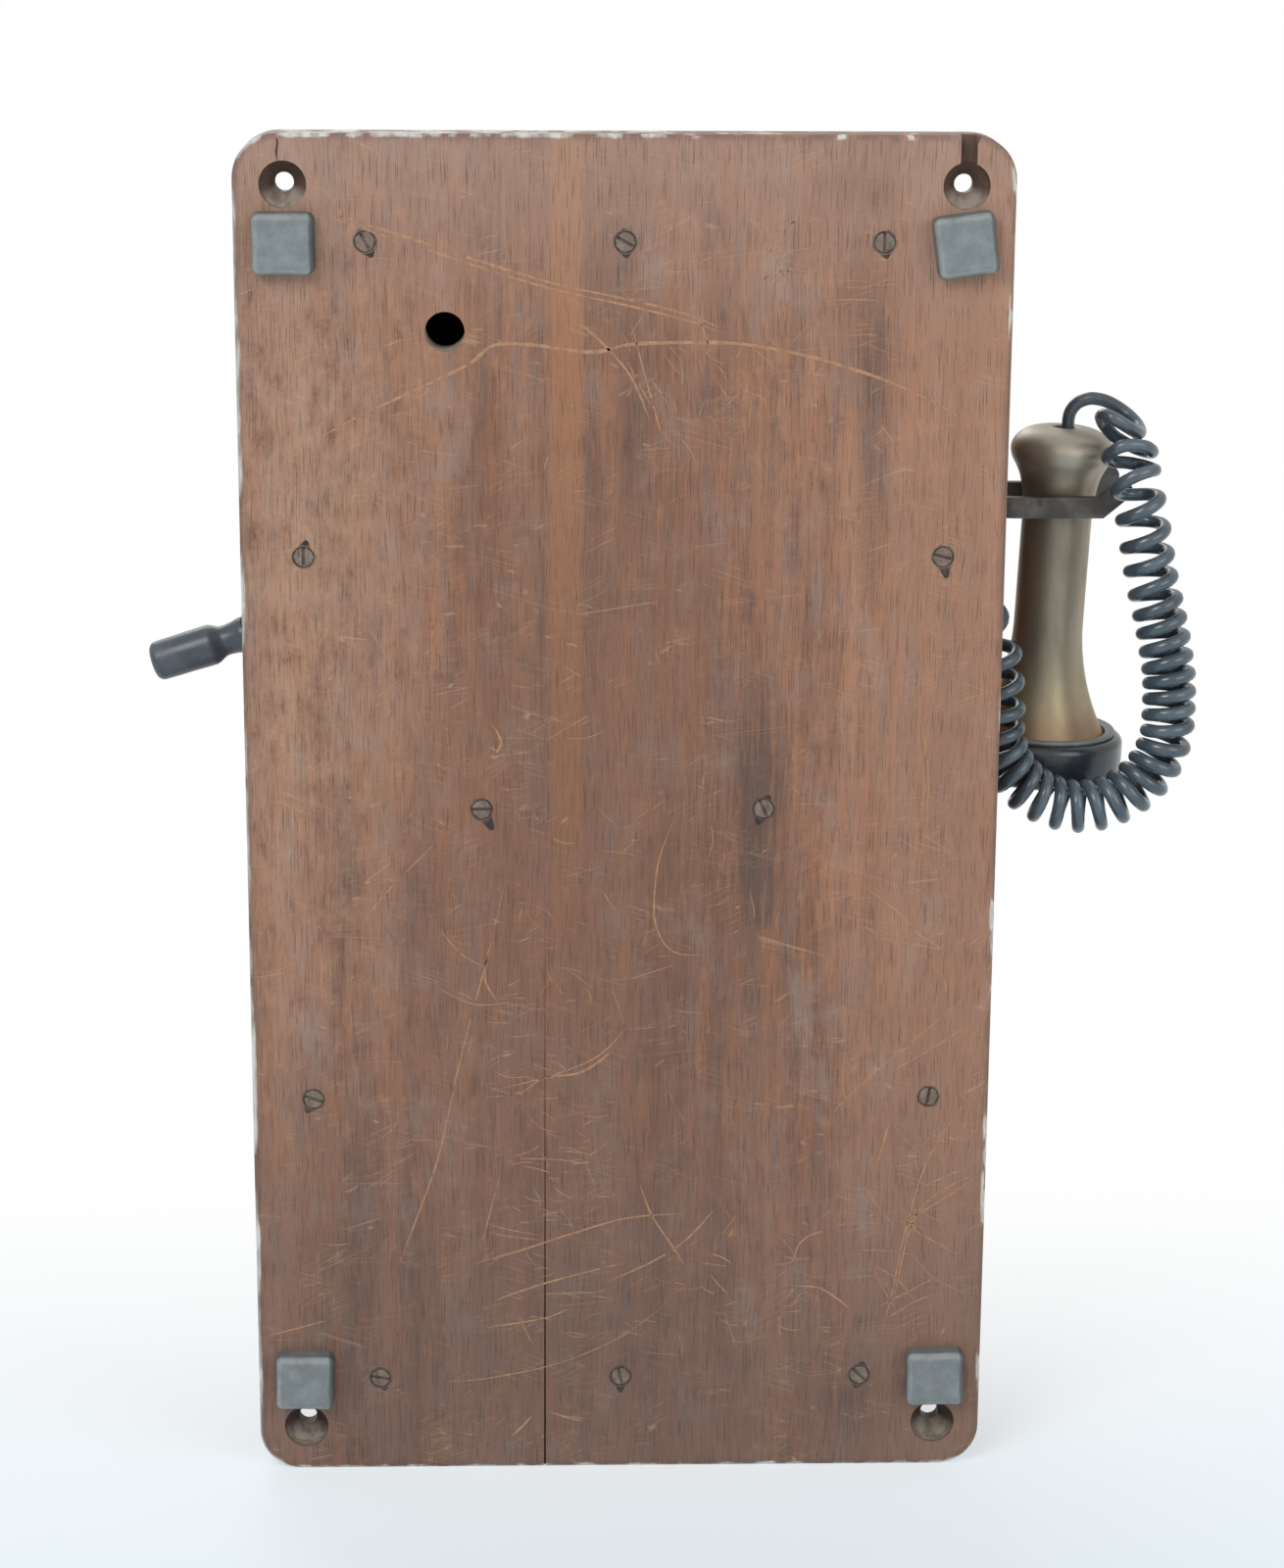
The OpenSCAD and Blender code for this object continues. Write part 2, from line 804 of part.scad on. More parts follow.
module receiver_shell() {
    cavity_top = knob_top - cord_socket - 6;
    cavity = [for (p = flare_line) [p[0] - shell_wall, p[1]]];
    color("darkgoldenrod") place_receiver() difference() {
        rotate_extrude() polygon(concat(
            [[0, rim_low], [rim_r, rim_low], [rim_r, rim_low + rim_band]],
            flare_line, knob_line, dome_line, [[0, knob_top]]
        ));
        rotate_extrude() polygon(concat(
            [[0, rim_low - eps], [rim_r - shell_wall - 0.8, rim_low - eps]], cavity,
            [[neck_r - shell_wall, cavity_top], [0, cavity_top]]
        ));
        translate([0, 0, knob_top - cord_socket]) cylinder(d = cord_hole_d, h = cord_socket + eps);
    }
}

module receiver_diaphragm() {
    color("silver") place_receiver() {
        translate([0, 0, rim_low - diaphragm_t]) cylinder(r = diaphragm_r, h = diaphragm_t);
    }
}

module ear_cap() {
    floor_z = rim_low - diaphragm_t;
    bore_r = rim_r + seat_gap;
    top_arc = [for (a = [90:-22.5:0]) [cap_r - 3.5 + 3.5 * cos(a), cap_top - 3.5 + 3.5 * sin(a)]];
    low_arc = [for (a = [0:-22.5:-90]) [cap_r - 5 + 5 * cos(a), cap_low + 5 + 5 * sin(a)]];
    dish = [for (i = [0:4]) [
        dish_r + (ear_hole_r - dish_r) * i / 4, cap_low + dish_depth * sin(90 * i / 4)
    ]];
    color("black") place_receiver() rotate_extrude() polygon(concat(
        [[bore_r, cap_top]], top_arc, low_arc, dish,
        [[ear_hole_r, floor_z], [bore_r, floor_z]]
    ));
}

module cord_bushing() {
    socket = 2;
    color("dimgray") translate([0, bushing_y, bushing_z]) difference() {
        union() {
            rod_x(bushing_flange_d, -side_x - bushing_flange_t, -side_x);
            rod_x(bushing_d, -side_x - 1, -inner_x + 2);
        }
        rod_x(cord_d + 0.4, -side_x - bushing_flange_t - eps, -side_x - bushing_flange_t + socket);
    }
}

// Curly cord: a smooth line through the route, measured along its length
function spline_point(p, i, t) =
    let (a = p[max(i - 1, 0)], b = p[i], c = p[i + 1], d = p[min(i + 2, len(p) - 1)])
    0.5 * (2 * b + (c - a) * t + (2 * a - 5 * b + 4 * c - d) * t * t
        + (3 * b - a - 3 * c + d) * t * t * t);
spline_steps = 8;
route_line = concat(
    [for (i = [0:len(cord_route) - 2], k = [0:spline_steps - 1])
        spline_point(cord_route, i, k / spline_steps)],
    [cord_route[len(cord_route) - 1]]
);
route_s = [for (
    i = 0, s = 0; i < len(route_line);
    i = i + 1, s = s + (i < len(route_line) ? norm(route_line[i] - route_line[i - 1]) : 0)
) s];
route_end = route_s[len(route_s) - 1];
route_tables = [for (axis = [0:2]) [for (i = [0:len(route_line) - 1]) [route_s[i], route_line[i][axis]]]];
function route_at(s) = [for (table = route_tables) lookup(s, table)];
function unit(v) = v / norm(v);
function route_way(s) = unit(route_at(min(s + 1, route_end)) - route_at(max(s - 1, 0)));

// Curls: the distance along the route for each turn, and their radius there
turn_count = [for (i = 0, n = 0; i <= len(curl_runs); n = n + (i < len(curl_runs) ? curl_runs[i][0] : 0),
    i = i + 1) n];
turn_s = [for (i = 0, s = curl_lead; i <= len(curl_runs);
    s = s + (i < len(curl_runs) ? curl_runs[i][0] * curl_runs[i][1] : 0), i = i + 1) s];
turn_table = [for (i = [0:len(curl_runs)]) [turn_count[i], turn_s[i]]];
curl_turns = turn_count[len(curl_runs)];
curl_end = turn_s[len(curl_runs)];
lead_step = 4;
lead_rings = 3 * curl_rings;
turns = concat(
    [for (k = [0:lead_rings * fade_in]) k / lead_rings],
    [for (k = [ceil(curl_rings * fade_in):curl_turns * curl_rings]) k / curl_rings]
);
cord_stations = concat(
    [for (s = [0:lead_step:curl_lead - 1]) [s, 0]],
    [for (n = turns) [lookup(n, turn_table), n]],
    [for (i = [1:5]) [curl_end + (route_end - curl_end) * i / 5, curl_turns]]
);
function smooth(t) = t * t * (3 - 2 * t);
function fade(turn) = smooth(min(turn / fade_in, (curl_turns - turn) / fade_out, 1));
function curl_out(station) =
    let (way = route_way(station[0]), side = unit(cross([0, 1, 0], way)), up = cross(way, side),
        a = 360 * (station[1] - 0.5))
    side * cos(a) + up * sin(a);
cord_line = [for (s = cord_stations) route_at(s[0]) + curl_r * fade(s[1]) * curl_out(s)];
cord_rings = [for (i = [0:len(cord_line) - 1])
    let (way = unit(cord_line[min(i + 1, len(cord_line) - 1)] - cord_line[max(i - 1, 0)]),
        out = curl_out(cord_stations[i]), e1 = unit(out - way * (out * way)), e2 = cross(way, e1))
    each [for (k = [0:cord_sides - 1])
        cord_line[i] + cord_d / 2 * (e1 * cos(360 * k / cord_sides) + e2 * sin(360 * k / cord_sides))]];
cord_gap = min([for (i = [0:len(cord_line) - 6], j = [i + 5:len(cord_line) - 1])
    norm(cord_line[i] - cord_line[j])]) - cord_d;
cord_length = [for (i = 0, s = 0; i < len(cord_line);
    i = i + 1, s = s + (i < len(cord_line) ? norm(cord_line[i] - cord_line[i - 1]) : 0)) s];

module receiver_cord() {
    n = cord_sides;
    last = len(cord_line) - 1;
    walls = [for (i = [0:last - 1], k = [0:n - 1])
        let (a = i * n + k, b = i * n + (k + 1) % n) each [[a, a + n, b], [b, a + n, b + n]]];
    start_cap = [for (k = [1:n - 2]) [0, k, k + 1]];
    end_cap = [for (k = [1:n - 2]) [last * n, last * n + k + 1, last * n + k]];
    echo(least_gap = cord_gap, cord_length = cord_length[last], room_after_curls = route_end - curl_end);
    color("black") polyhedron(cord_rings, concat(walls, start_cap, end_cap));
}

// Crank
module crank_bearing_bush() {
    color("goldenrod") translate([0, crank_y, crank_z]) difference() {
        union() {
            rod_x(hub_d, side_x, side_x + bush_flange_t);
            rod_x(shaft_d + 6, inner_x - 3, side_x + 1);
        }
        rod_x(shaft_d + 2 * run_fit, inner_x - 5, side_x + 5);
    }
}

module crank_shaft() {
    color("silver") translate([0, crank_y, crank_z]) {
        rod_x(shaft_d, gear_x - 3, arm_x0 + arm_t);
    }
}

module along_knob() {
    translate([knob_x, crank_y, knob_z]) rotate([0, 90 + knob_cant, 0]) children();
}

module crank_arm() {
    color("dimgray") difference() {
        union() {
            translate([0, crank_y, crank_z]) rod_x(hub_d, hub_x0, arm_x0 + arm_t);
            slab_x(arm_x0, arm_t) polygon([
                [crank_y - hub_d / 2, crank_z], [crank_y + hub_d / 2, crank_z],
                [crank_y + arm_end_d / 2, knob_z], [crank_y - arm_end_d / 2, knob_z]
            ]);
            along_knob() translate([0, 0, -4]) cylinder(d = arm_end_d, h = 4 + knob_base - pass_gap);
        }
        translate([0, crank_y, crank_z]) rod_x(shaft_d + 2 * seat_gap, hub_x0 - eps, arm_x0 + arm_t + eps);
        along_knob() translate([0, 0, -8]) cylinder(d = spindle_d + 2 * seat_gap, h = 8 + knob_base + eps);
    }
}

module knob_spindle() {
    color("silver") along_knob() translate([0, 0, -4.5]) {
        cylinder(d = spindle_d, h = 4.5 + knob_base + knob_len - 6);
    }
}

// A turned handle: a flared foot, a waist and a barrel with a rounded end
module crank_knob() {
    r = knob_d / 2;
    foot_r = 7;
    waist_r = 5.9;
    waist = 8.5;
    shoulder = 14.6;
    color("black") along_knob() translate([0, 0, knob_base]) difference() {
        rotate_extrude() polygon(concat(
            [[0, 0], [foot_r, 0], [foot_r, 1.5]],
            [for (t = [0.25:0.25:1]) [waist_r + (foot_r - waist_r) * pow(1 - t, 2), 1.5 + (waist - 1.5) * t]],
            [for (t = [0.25:0.25:1]) [
                waist_r + (r - waist_r) * (1 - cos(180 * t)) / 2, waist + (shoulder - waist) * t
            ]],
            [for (a = [0:22.5:90]) [r - 3.2 + 2.9 * cos(a), knob_len - 2.9 + 2.9 * sin(a)]],
            [[0, knob_len]]
        ));
        translate([0, 0, -eps]) cylinder(d = spindle_d + 2 * run_fit, h = knob_len - 6 + eps + pass_gap);
    }
}

// Gears with involute teeth
pressure = 20;
tooth_slack = 0.06;
function involute_of(a) = tan(a) - a * PI / 180;
function tooth_half(teeth, r) =
    let (pitch_r = gear_m * teeth / 2, base_r = pitch_r * cos(pressure), a = acos(min(1, base_r / r)))
    90 / teeth + (involute_of(pressure) - involute_of(a) - tooth_slack / pitch_r) * 180 / PI;

module gear_outline(teeth) {
    pitch_r = gear_m * teeth / 2;
    base_r = pitch_r * cos(pressure);
    root_r = pitch_r - 1.25 * gear_m;
    tip_r = pitch_r + gear_m;
    flank_r = max(root_r, base_r);
    radii = concat(root_r < base_r ? [root_r] : [], [for (k = [0:3]) flank_r + (tip_r - flank_r) * k / 3]);
    last = len(radii) - 1;
    polygon([for (i = [0:teeth - 1], k = [0:2 * last + 1])
        let (r = radii[k <= last ? k : 2 * last + 1 - k], half = tooth_half(teeth, r),
            a = 360 * i / teeth + (k <= last ? -half : half))
        r * [cos(a), sin(a)]]);
}

module along_x(x) {
    translate([x, 0, 0]) rotate([0, 90, 0]) children();
}

module drive_gear() {
    pitch_r = gear_m * gear_teeth / 2;
    rim_depth = 6;
    hub_wall = 5;
    hub_out = 2;
    window_edge = 1.5;
    windows = 6;
    rim_in = pitch_r - rim_depth;
    hub_r = shaft_d / 2 + hub_wall;
    window_r = (rim_in - hub_r) / 2 - window_edge;
    color("goldenrod") translate([0, crank_y, crank_z]) difference() {
        union() {
            along_x(gear_x) linear_extrude(gear_w) gear_outline(gear_teeth);
            rod_x(2 * hub_r, gear_x - hub_out, gear_x + gear_w + hub_out);
        }
        rod_x(shaft_d + 2 * seat_gap, gear_x - hub_out - eps, gear_x + gear_w + hub_out + eps);
        for (i = [0:windows - 1]) {
            rotate([360 * i / windows, 0, 0]) translate([0, 0, (rim_in + hub_r) / 2]) {
                rod_x(2 * window_r, gear_x - eps, gear_x + gear_w + eps);
            }
        }
    }
}

module armature_pinion() {
    color("goldenrod") translate([0, crank_y, armature_z]) difference() {
        along_x(gear_x - 0.5) rotate(180 / pinion_teeth) linear_extrude(gear_w + 1) {
            gear_outline(pinion_teeth);
        }
        rod_x(armature_shaft_d + 2 * seat_gap, gear_x - 5, gear_x + gear_w + 5);
    }
}

// Shuttle armature: two pole shoes on a web, with the winding in its slots
module armature() {
    r = armature_d / 2;
    web = 12;
    winding_r = r - 2.5;
    x0 = magnets_x0 + 3;
    x1 = magnets_x1 - 3;
    color("peru") translate([0, crank_y, armature_z]) {
        rod_x(armature_shaft_d, gear_x - 2, outer_plate_x + end_plate_t + 3);
        along_x(x0) linear_extrude(x1 - x0) difference() {
            circle(r);
            for (s = [-1, 1]) {
                translate([s * r, 0]) square([2 * (r - web / 2), 1.2 * r], center = true);
            }
        }
        along_x(x0 + 2) linear_extrude(x1 - x0 - 4) intersection() {
            circle(winding_r);
            square([2 * r, 1.2 * r], center = true);
        }
    }
}

module generator_base() {
    half = pole_out + magnet_t + 3;
    color("dimgray") block(
        [inner_plate_x - 2, crank_y - half, shelf_top_z],
        [outer_plate_x + end_plate_t + 2, crank_y + half, gen_base_top]
    );
}

module generator_end_plates() {
    foot = 18;
    head = 12;
    color("goldenrod") for (x = [inner_plate_x, outer_plate_x]) {
        difference() {
            union() {
                slab_x(x, end_plate_t) polygon([
                    [crank_y - foot, gen_base_top], [crank_y + foot, gen_base_top],
                    [crank_y + foot, armature_z], [crank_y + head, crank_z],
                    [crank_y - head, crank_z], [crank_y - foot, armature_z]
                ]);
                translate([0, crank_y, crank_z]) rod_x(2 * head, x, x + end_plate_t);
            }
            translate([0, crank_y, crank_z]) {
                rod_x(shaft_d + 2 * run_fit, x - eps, x + end_plate_t + eps);
            }
            translate([0, crank_y, armature_z]) {
                rod_x(armature_shaft_d + 2 * run_fit, x - eps, x + end_plate_t + eps);
            }
        }
    }
}

module pole_pieces() {
    gap = 7;
    top = armature_z + armature_d / 2 + 3;
    color("gray") for (s = [-1, 1]) {
        y0 = s < 0 ? crank_y - pole_out : crank_y + gap;
        y1 = s < 0 ? crank_y - gap : crank_y + pole_out;
        difference() {
            block([magnets_x0, y0, gen_base_top], [magnets_x1, y1, top]);
            translate([0, crank_y, armature_z]) rod_x(2 * pole_gap_r, magnets_x0 - eps, magnets_x1 + eps);
        }
    }
}

// Horseshoe magnets side by side over the pole pieces
module generator_magnets() {
    leg = magnet_arch_z - gen_base_top;
    out = pole_out + magnet_t;
    color("darkslategray") for (i = [0:magnet_count - 1]) {
        translate([0, crank_y, magnet_arch_z]) {
            slab_x(magnets_x0 + i * magnet_pitch, magnet_pitch - magnet_space) difference() {
                union() {
                    circle(out);
                    translate([-out, -leg]) square([2 * out, leg]);
                }
                circle(pole_out);
                translate([-pole_out, -leg - eps]) square([2 * pole_out, leg + eps]);
            }
        }
    }
}

// Inside fittings
module place_cells() {
    for (i = [0:cell_count - 1]) {
        translate([(i - (cell_count - 1) / 2) * cell_step, cell_y, -inner_z]) children();
    }
}

module dry_cells() {
    rim = 2;
    color("burlywood") place_cells() difference() {
        cylinder(d = cell_d, h = cell_h);
        translate([0, 0, cell_h - cell_top_depth]) {
            cylinder(d = cell_d - 2 * rim, h = cell_top_depth + eps);
        }
    }
}

module dry_cell_terminals() {
    edge_in = 9;
    boss_d = 8;
    boss_h = 5;
    stud_d = 4;
    stud_h = 12;
    nut_d = 9;
    nut_h = 4;
    nut_up = 6;
    color("gold") place_cells() for (x = [0, cell_d / 2 - edge_in]) {
        translate([x, 0, cell_h - cell_top_depth]) {
            cylinder(d = boss_d, h = boss_h);
            cylinder(d = stud_d, h = stud_h);
            translate([0, 0, nut_up]) cylinder(d = nut_d, h = nut_h);
        }
    }
}

module induction_coil() {
    half = coil_cheek / 2;
    x0 = -inner_x + coil_in_x;
    y = board_front_y - half - coil_back_gap;
    color("firebrick") translate([0, y, shelf_top_z + half]) {
        rod_x(coil_d, x0, x0 + coil_len);
        for (x = [x0 - coil_cheek_t, x0 + coil_len]) {
            block([x, -half, -half], [x + coil_cheek_t, half, half]);
        }
    }
}

module condenser() {
    color("slategray") translate([-inner_x + can_in_x, case_front_y + can_in_y, shelf_top_z]) {
        cube(can_size);
        for (s = [0.25, 0.65]) {
            translate([s * can_size[0], (can_size[1] - can_lug[1]) / 2, can_size[2]]) cube(can_lug);
        }
    }
}

module terminal_strip() {
    color("black") translate([0, 0, strip_z]) {
        slab_y(board_front_y, strip_t) rounded_rect(strip_w, strip_h, 4);
    }
}

module binding_posts() {
    posts = 5;
    step = (strip_w - strip_h) / (posts - 1);
    washer_t = 1.5;
    y = board_front_y - strip_t;
    color("gold") for (i = [0:posts - 1]) {
        translate([(i - (posts - 1) / 2) * step, 0, strip_z]) {
            rod_y(2 * post_d, y, y - washer_t);
            rod_y(post_d, y - washer_t / 2, y - post_len);
            rod_y(1.8 * post_d, y - 0.4 * post_len, y - 0.75 * post_len);
        }
    }
}

// Hinges: the case's leaves hold the outer knuckles, the door's the middle one
module knuckle(z0, z1) {
    translate([hinge_x, case_front_y, z0]) difference() {
        cylinder(r = knuckle_r, h = z1 - z0);
        translate([0, 0, -eps]) cylinder(d = hinge_pin_d + 2 * run_fit, h = z1 - z0 + 2 * eps);
    }
}

module knuckle_arm(z0, z1, way) {
    reach = knuckle_r + pass_gap;
    difference() {
        block(
            [-side_x - leaf_t, min(case_front_y, case_front_y + way * reach), z0],
            [-side_x, max(case_front_y, case_front_y + way * reach), z1]
        );
        translate([hinge_x, case_front_y, z0 - eps]) {
            cylinder(d = hinge_pin_d + 2 * run_fit, h = z1 - z0 + 2 * eps);
        }
    }
}

module hinge_leaves_case() {
    reach = knuckle_r + pass_gap;
    half = hinge_len / 2;
    inner = knuckle_h / 2 + 0.2;
    color("goldenrod") for (z = [-hinge_z, hinge_z]) translate([0, 0, z]) {
        block([-side_x - leaf_t, case_front_y + reach, -half], [-side_x, case_front_y + leaf_w, half]);
        for (span = [[-half, -inner], [inner, half]]) {
            knuckle(span[0], span[1]);
            knuckle_arm(span[0], span[1], 1);
        }
    }
}

module hinge_leaves_door() {
    reach = knuckle_r + pass_gap;
    half = hinge_len / 2;
    inner = knuckle_h / 2 - 0.2;
    color("goldenrod") for (z = [-hinge_z, hinge_z]) translate([0, 0, z]) {
        block(
            [-side_x - leaf_t, door_front_y + door_bevel, -half], [-side_x, case_front_y - reach, half]
        );
        knuckle(-inner, inner);
        knuckle_arm(-inner, inner, -1);
    }
}

module hinge_pins() {
    color("silver") for (z = [-hinge_z, hinge_z]) {
        translate([hinge_x, case_front_y, z - hinge_len / 2 - 1.5]) {
            cylinder(d = hinge_pin_d, h = hinge_len + 3);
            cylinder(d = hinge_pin_d + 2, h = 1.5);
        }
    }
}

// Door with a bevel round its front
module door_panel() {
    bevel = [[0, 0], [door_bevel, 0], [0, door_bevel]];
    front = door_front_y;
    color("saddlebrown") difference() {
        block([-side_x, front, -case_top_z], [side_x, door_in_y, case_top_z]);
        for (s = [0, 1]) {
            mirror([s, 0, 0]) translate([-side_x, front, -case_top_z - eps]) {
                linear_extrude(case_h + 2 * eps) polygon(bevel);
            }
            mirror([0, 0, s]) translate([-side_x - eps, front, -case_top_z]) {
                rotate([90, 0, 90]) linear_extrude(case_w + 2 * eps) polygon(bevel);
            }
        }
        translate([0, 0, gong_z]) {
            slab_y(door_in_y + eps, door_t + 2 * eps) square(clapper_slot, center = true);
        }
        translate([latch_x, 0, latch_z]) rod_y(latch_d + 2 * run_fit, door_in_y + eps, front - eps);
    }
}

// A quarter-turn latch: knob in front, tongue behind, strike on the case
module latch_knob() {
    color("goldenrod") translate([latch_x, 0, latch_z]) {
        rod_y(latch_d, tongue_y + tongue_t + 1, door_front_y - 4);
        rod_y(16, door_front_y - pass_gap, door_front_y - 3);
        translate([0, door_front_y - 3, 0]) turned_y() polygon(concat(
            [[0, 0], [5, 0], [4, 3]],
            [for (a = [-60:30:90]) [9 * cos(a), 9 + 5 * sin(a)]]
        ));
    }
}

module latch_tongue() {
    color("goldenrod") translate([latch_x, 0, latch_z]) difference() {
        union() {
            rod_y(12, tongue_y + tongue_t, tongue_y);
            block([-tongue_w / 2, tongue_y, 0], [tongue_w / 2, tongue_y + tongue_t, tongue_len]);
        }
        rod_y(latch_d + 2 * seat_gap, tongue_y + 10, tongue_y - 10);
    }
}

module latch_strike() {
    lip = 11;
    color("goldenrod") {
        block([inner_x - 2, strike_y, latch_z - 14], [inner_x, strike_y + 16, latch_z + 14]);
        block([inner_x - lip, strike_y, latch_z - 8], [inner_x - 1, strike_y + strike_t, latch_z + 8]);
    }
}

// Gongs and ringer
module gong() {
    steps = 12;
    outer = [for (i = [0:steps]) [gong_r * cos(90 * i / steps), gong_h * sin(90 * i / steps)]];
    inner = [for (i = [steps:-1:0]) [
        (gong_r - gong_wall) * cos(90 * i / steps), (gong_h - gong_wall) * sin(90 * i / steps)
    ]];
    translate([0, gong_rim_y, gong_z]) difference() {
        turned_y() polygon(concat(outer, inner));
        rod_y(gong_screw_d + 2 * seat_gap, eps, -gong_h - eps);
    }
}

module left_gong() {
    color("silver") translate([-gong_x, 0, 0]) gong();
}

module right_gong() {
    color("silver") translate([gong_x, 0, 0]) gong();
}

// A post carries each gong, with a round-headed screw through its crown
module gong_posts() {
    crown_in = gong_rim_y - gong_h + gong_wall;
    crown_out = gong_rim_y - gong_h;
    post_gap = 0.6;
    screw_start = 2;
    screw_end = 2;
    head_gap = 0.2;
    head_r = 5;
    head_edge = 1;
    head_h = 3.6;
    color("silver") for (s = [-1, 1]) translate([s * gong_x, 0, gong_z]) {
        rod_y(gong_post_d, door_front_y, crown_in + post_gap);
        rod_y(gong_screw_d, door_front_y - screw_start, crown_out - screw_end);
        translate([0, crown_out - head_gap, 0]) turned_y() polygon(concat(
            [[0, 0], [head_r, 0]],
            [for (a = [20:35:90]) [head_r * cos(a), head_edge + (head_h - head_edge) * sin(a)]],
            [[0, head_h]]
        ));
    }
}

module ringer_frame() {
    half = coil_x + ringer_coil_d / 2 + 3;
    color("dimgray") difference() {
        union() {
            block(
                [-half, door_in_y, yoke_top_z - ringer_yoke_t],
                [half, door_in_y + ringer_plate_t, pivot_z + 8]
            );
            block([-half, door_in_y, yoke_top_z - ringer_yoke_t], [half, ringer_back_y, yoke_top_z]);
            translate([0, 0, pivot_z]) {
                rod_y(ringer_pin_d, ringer_back_y - ringer_magnet_t, door_in_y + 1);
            }
        }
        translate([0, 0, gong_z]) {
            slab_y(door_in_y + ringer_plate_t + eps, ringer_plate_t + 2 * eps) {
                square(clapper_slot, center = true);
            }
        }
    }
}

module ringer_coils() {
    cheek_d = ringer_coil_d + 1;
    top = pole_face_z - 2;
    color("firebrick") for (s = [-1, 1]) translate([s * coil_x, ringer_y, 0]) {
        translate([0, 0, yoke_top_z]) cylinder(d = ringer_coil_d, h = top - yoke_top_z);
        for (z = [yoke_top_z, top - 1.5]) translate([0, 0, z]) cylinder(d = cheek_d, h = 1.5);
        translate([0, 0, yoke_top_z]) cylinder(d = 8, h = pole_face_z - yoke_top_z);
    }
}

module ringer_magnet() {
    color("darkslategray") block(
        [-8, ringer_back_y - ringer_magnet_t, yoke_top_z], [8, ringer_back_y, pivot_z + 6]
    );
}

module ringer_armature() {
    color("gray") translate([0, 0, pivot_z]) difference() {
        block(
            [-coil_x - 8, ringer_y - 5, -armature_bar_t / 2], [coil_x + 8, ringer_y + 5, armature_bar_t / 2]
        );
        rod_y(ringer_pin_d + 2 * run_fit, ringer_back_y, door_in_y);
    }
    color("gray") translate([0, 0, pivot_z]) difference() {
        rod_y(7, ringer_y + 5, ringer_y - 5);
        rod_y(ringer_pin_d + 2 * run_fit, ringer_back_y, door_in_y);
    }
}

module clapper() {
    r = clapper_rod_d / 2;
    color("silver") {
        translate([0, ringer_y, gong_z]) cylinder(r = r, h = clapper_len - 3.5);
        translate([0, ringer_y, gong_z]) sphere(r);
        translate([0, 0, gong_z]) rod_y(clapper_rod_d, ringer_y, ball_y);
        translate([0, ball_y, gong_z]) sphere(d = clapper_ball_d);
    }
}

// Transmitter on its bracket
module bracket_ear(x0, t, r, back) {
    difference() {
        translate([0, tilt_y, transmitter_z]) slab_x(x0, t) union() {
            circle(r);
            translate([min(0, back), -r]) square([abs(back), 2 * r]);
        }
        translate([0, tilt_y, transmitter_z]) {
            rod_x(tilt_pin_d + 2 * run_fit, x0 - eps, x0 + t + eps);
        }
    }
}

module transmitter_bracket() {
    base_r = 30;
    base_t = 6;
    neck = 14;
    flare_r = 17;
    stem_r = 13;
    color("dimgray") {
        translate([0, door_front_y, transmitter_z]) turned_y() polygon([
            [0, 0], [base_r, 0], [base_r, base_t - 2], [base_r - 3, base_t], [flare_r, base_t + 2],
            [stem_r, base_t + 9], [stem_r + 0.5, transmitter_arm - neck - 3],
            [stem_r - 0.5, transmitter_arm - neck], [0, transmitter_arm - neck]
        ]);
        bracket_ear(fork_in_x, fork_ear_t, lug_r, neck + 2);
        bracket_ear(-fork_in_x - fork_ear_t, fork_ear_t, lug_r, neck + 2);
    }
}

module transmitter_pin() {
    out = fork_in_x + fork_ear_t;
    color("silver") translate([0, tilt_y, transmitter_z]) {
        rod_x(tilt_pin_d, -out - 2, out + 2);
        rod_x(tilt_pin_d + 5, out, out + 3);
    }
}

module place_cup() {
    translate([0, tilt_y - cup_back, transmitter_z]) children();
}

module transmitter_cup() {
    lug_half = fork_in_x - pass_gap;
    dome = [for (i = [0:6]) [15 + (cup_r - 15) * sin(15 * i), 12 * (1 - cos(15 * i))]];
    hollow = [for (p = dome) [p[0] - cup_wall, p[1] + cup_wall]];
    color("black") {
        place_cup() turned_y() polygon(concat(
            [[0, 0]], dome, [[cup_r, cup_h], [cup_r - cup_wall, cup_h]],
            [for (i = [6:-1:0]) hollow[i]], [[0, cup_wall]]
        ));
        bracket_ear(-lug_half, 2 * lug_half, lug_r - 0.5, -cup_back - 1);
    }
}

module transmitter_faceplate() {
    color("silver") place_cup() translate([0, -cup_h, 0]) turned_y() polygon([
        [throat_r - 4, 0], [cup_r + 1.5, 0], [cup_r + 1.5, face_t - 1], [cup_r, face_t],
        [throat_r + 8, face_t + 1.5], [throat_r + 2, face_t + 6], [throat_r - 4, face_t + 6]
    ]);
}

// A flared mouthpiece with a pierced floor
module mouthpiece() {
    steps = 12;
    outer = [for (i = [0:steps]) let (t = i / steps) [
        throat_r + (mouth_r - throat_r) * pow(t, 1.8), mouth_len * t
    ]];
    floor_h = 3;
    hole_ring = 6;
    color("black") place_cup() translate([0, -cup_h - face_t - 6, 0]) difference() {
        turned_y() polygon(concat(
            [[0, 0]], outer,
            [for (i = [steps:-1:1]) [outer[i][0] - mouth_wall, outer[i][1]]],
            [[throat_r - mouth_wall, floor_h], [0, floor_h]]
        ));
        for (i = [0:hole_ring]) {
            rotate([0, 360 * i / hole_ring, 0]) translate([i == hole_ring ? 0 : 6, 0, 0]) {
                rod_y(3, eps, -floor_h - eps);
            }
        }
    }
}

// Writing shelf, sloping to a raised edge at its front
desk_slope = 0.36;
desk_t = 9;
desk_z = -desk_drop;
desk_front_y = door_front_y - desk_depth;
desk_fall = desk_depth * desk_slope;

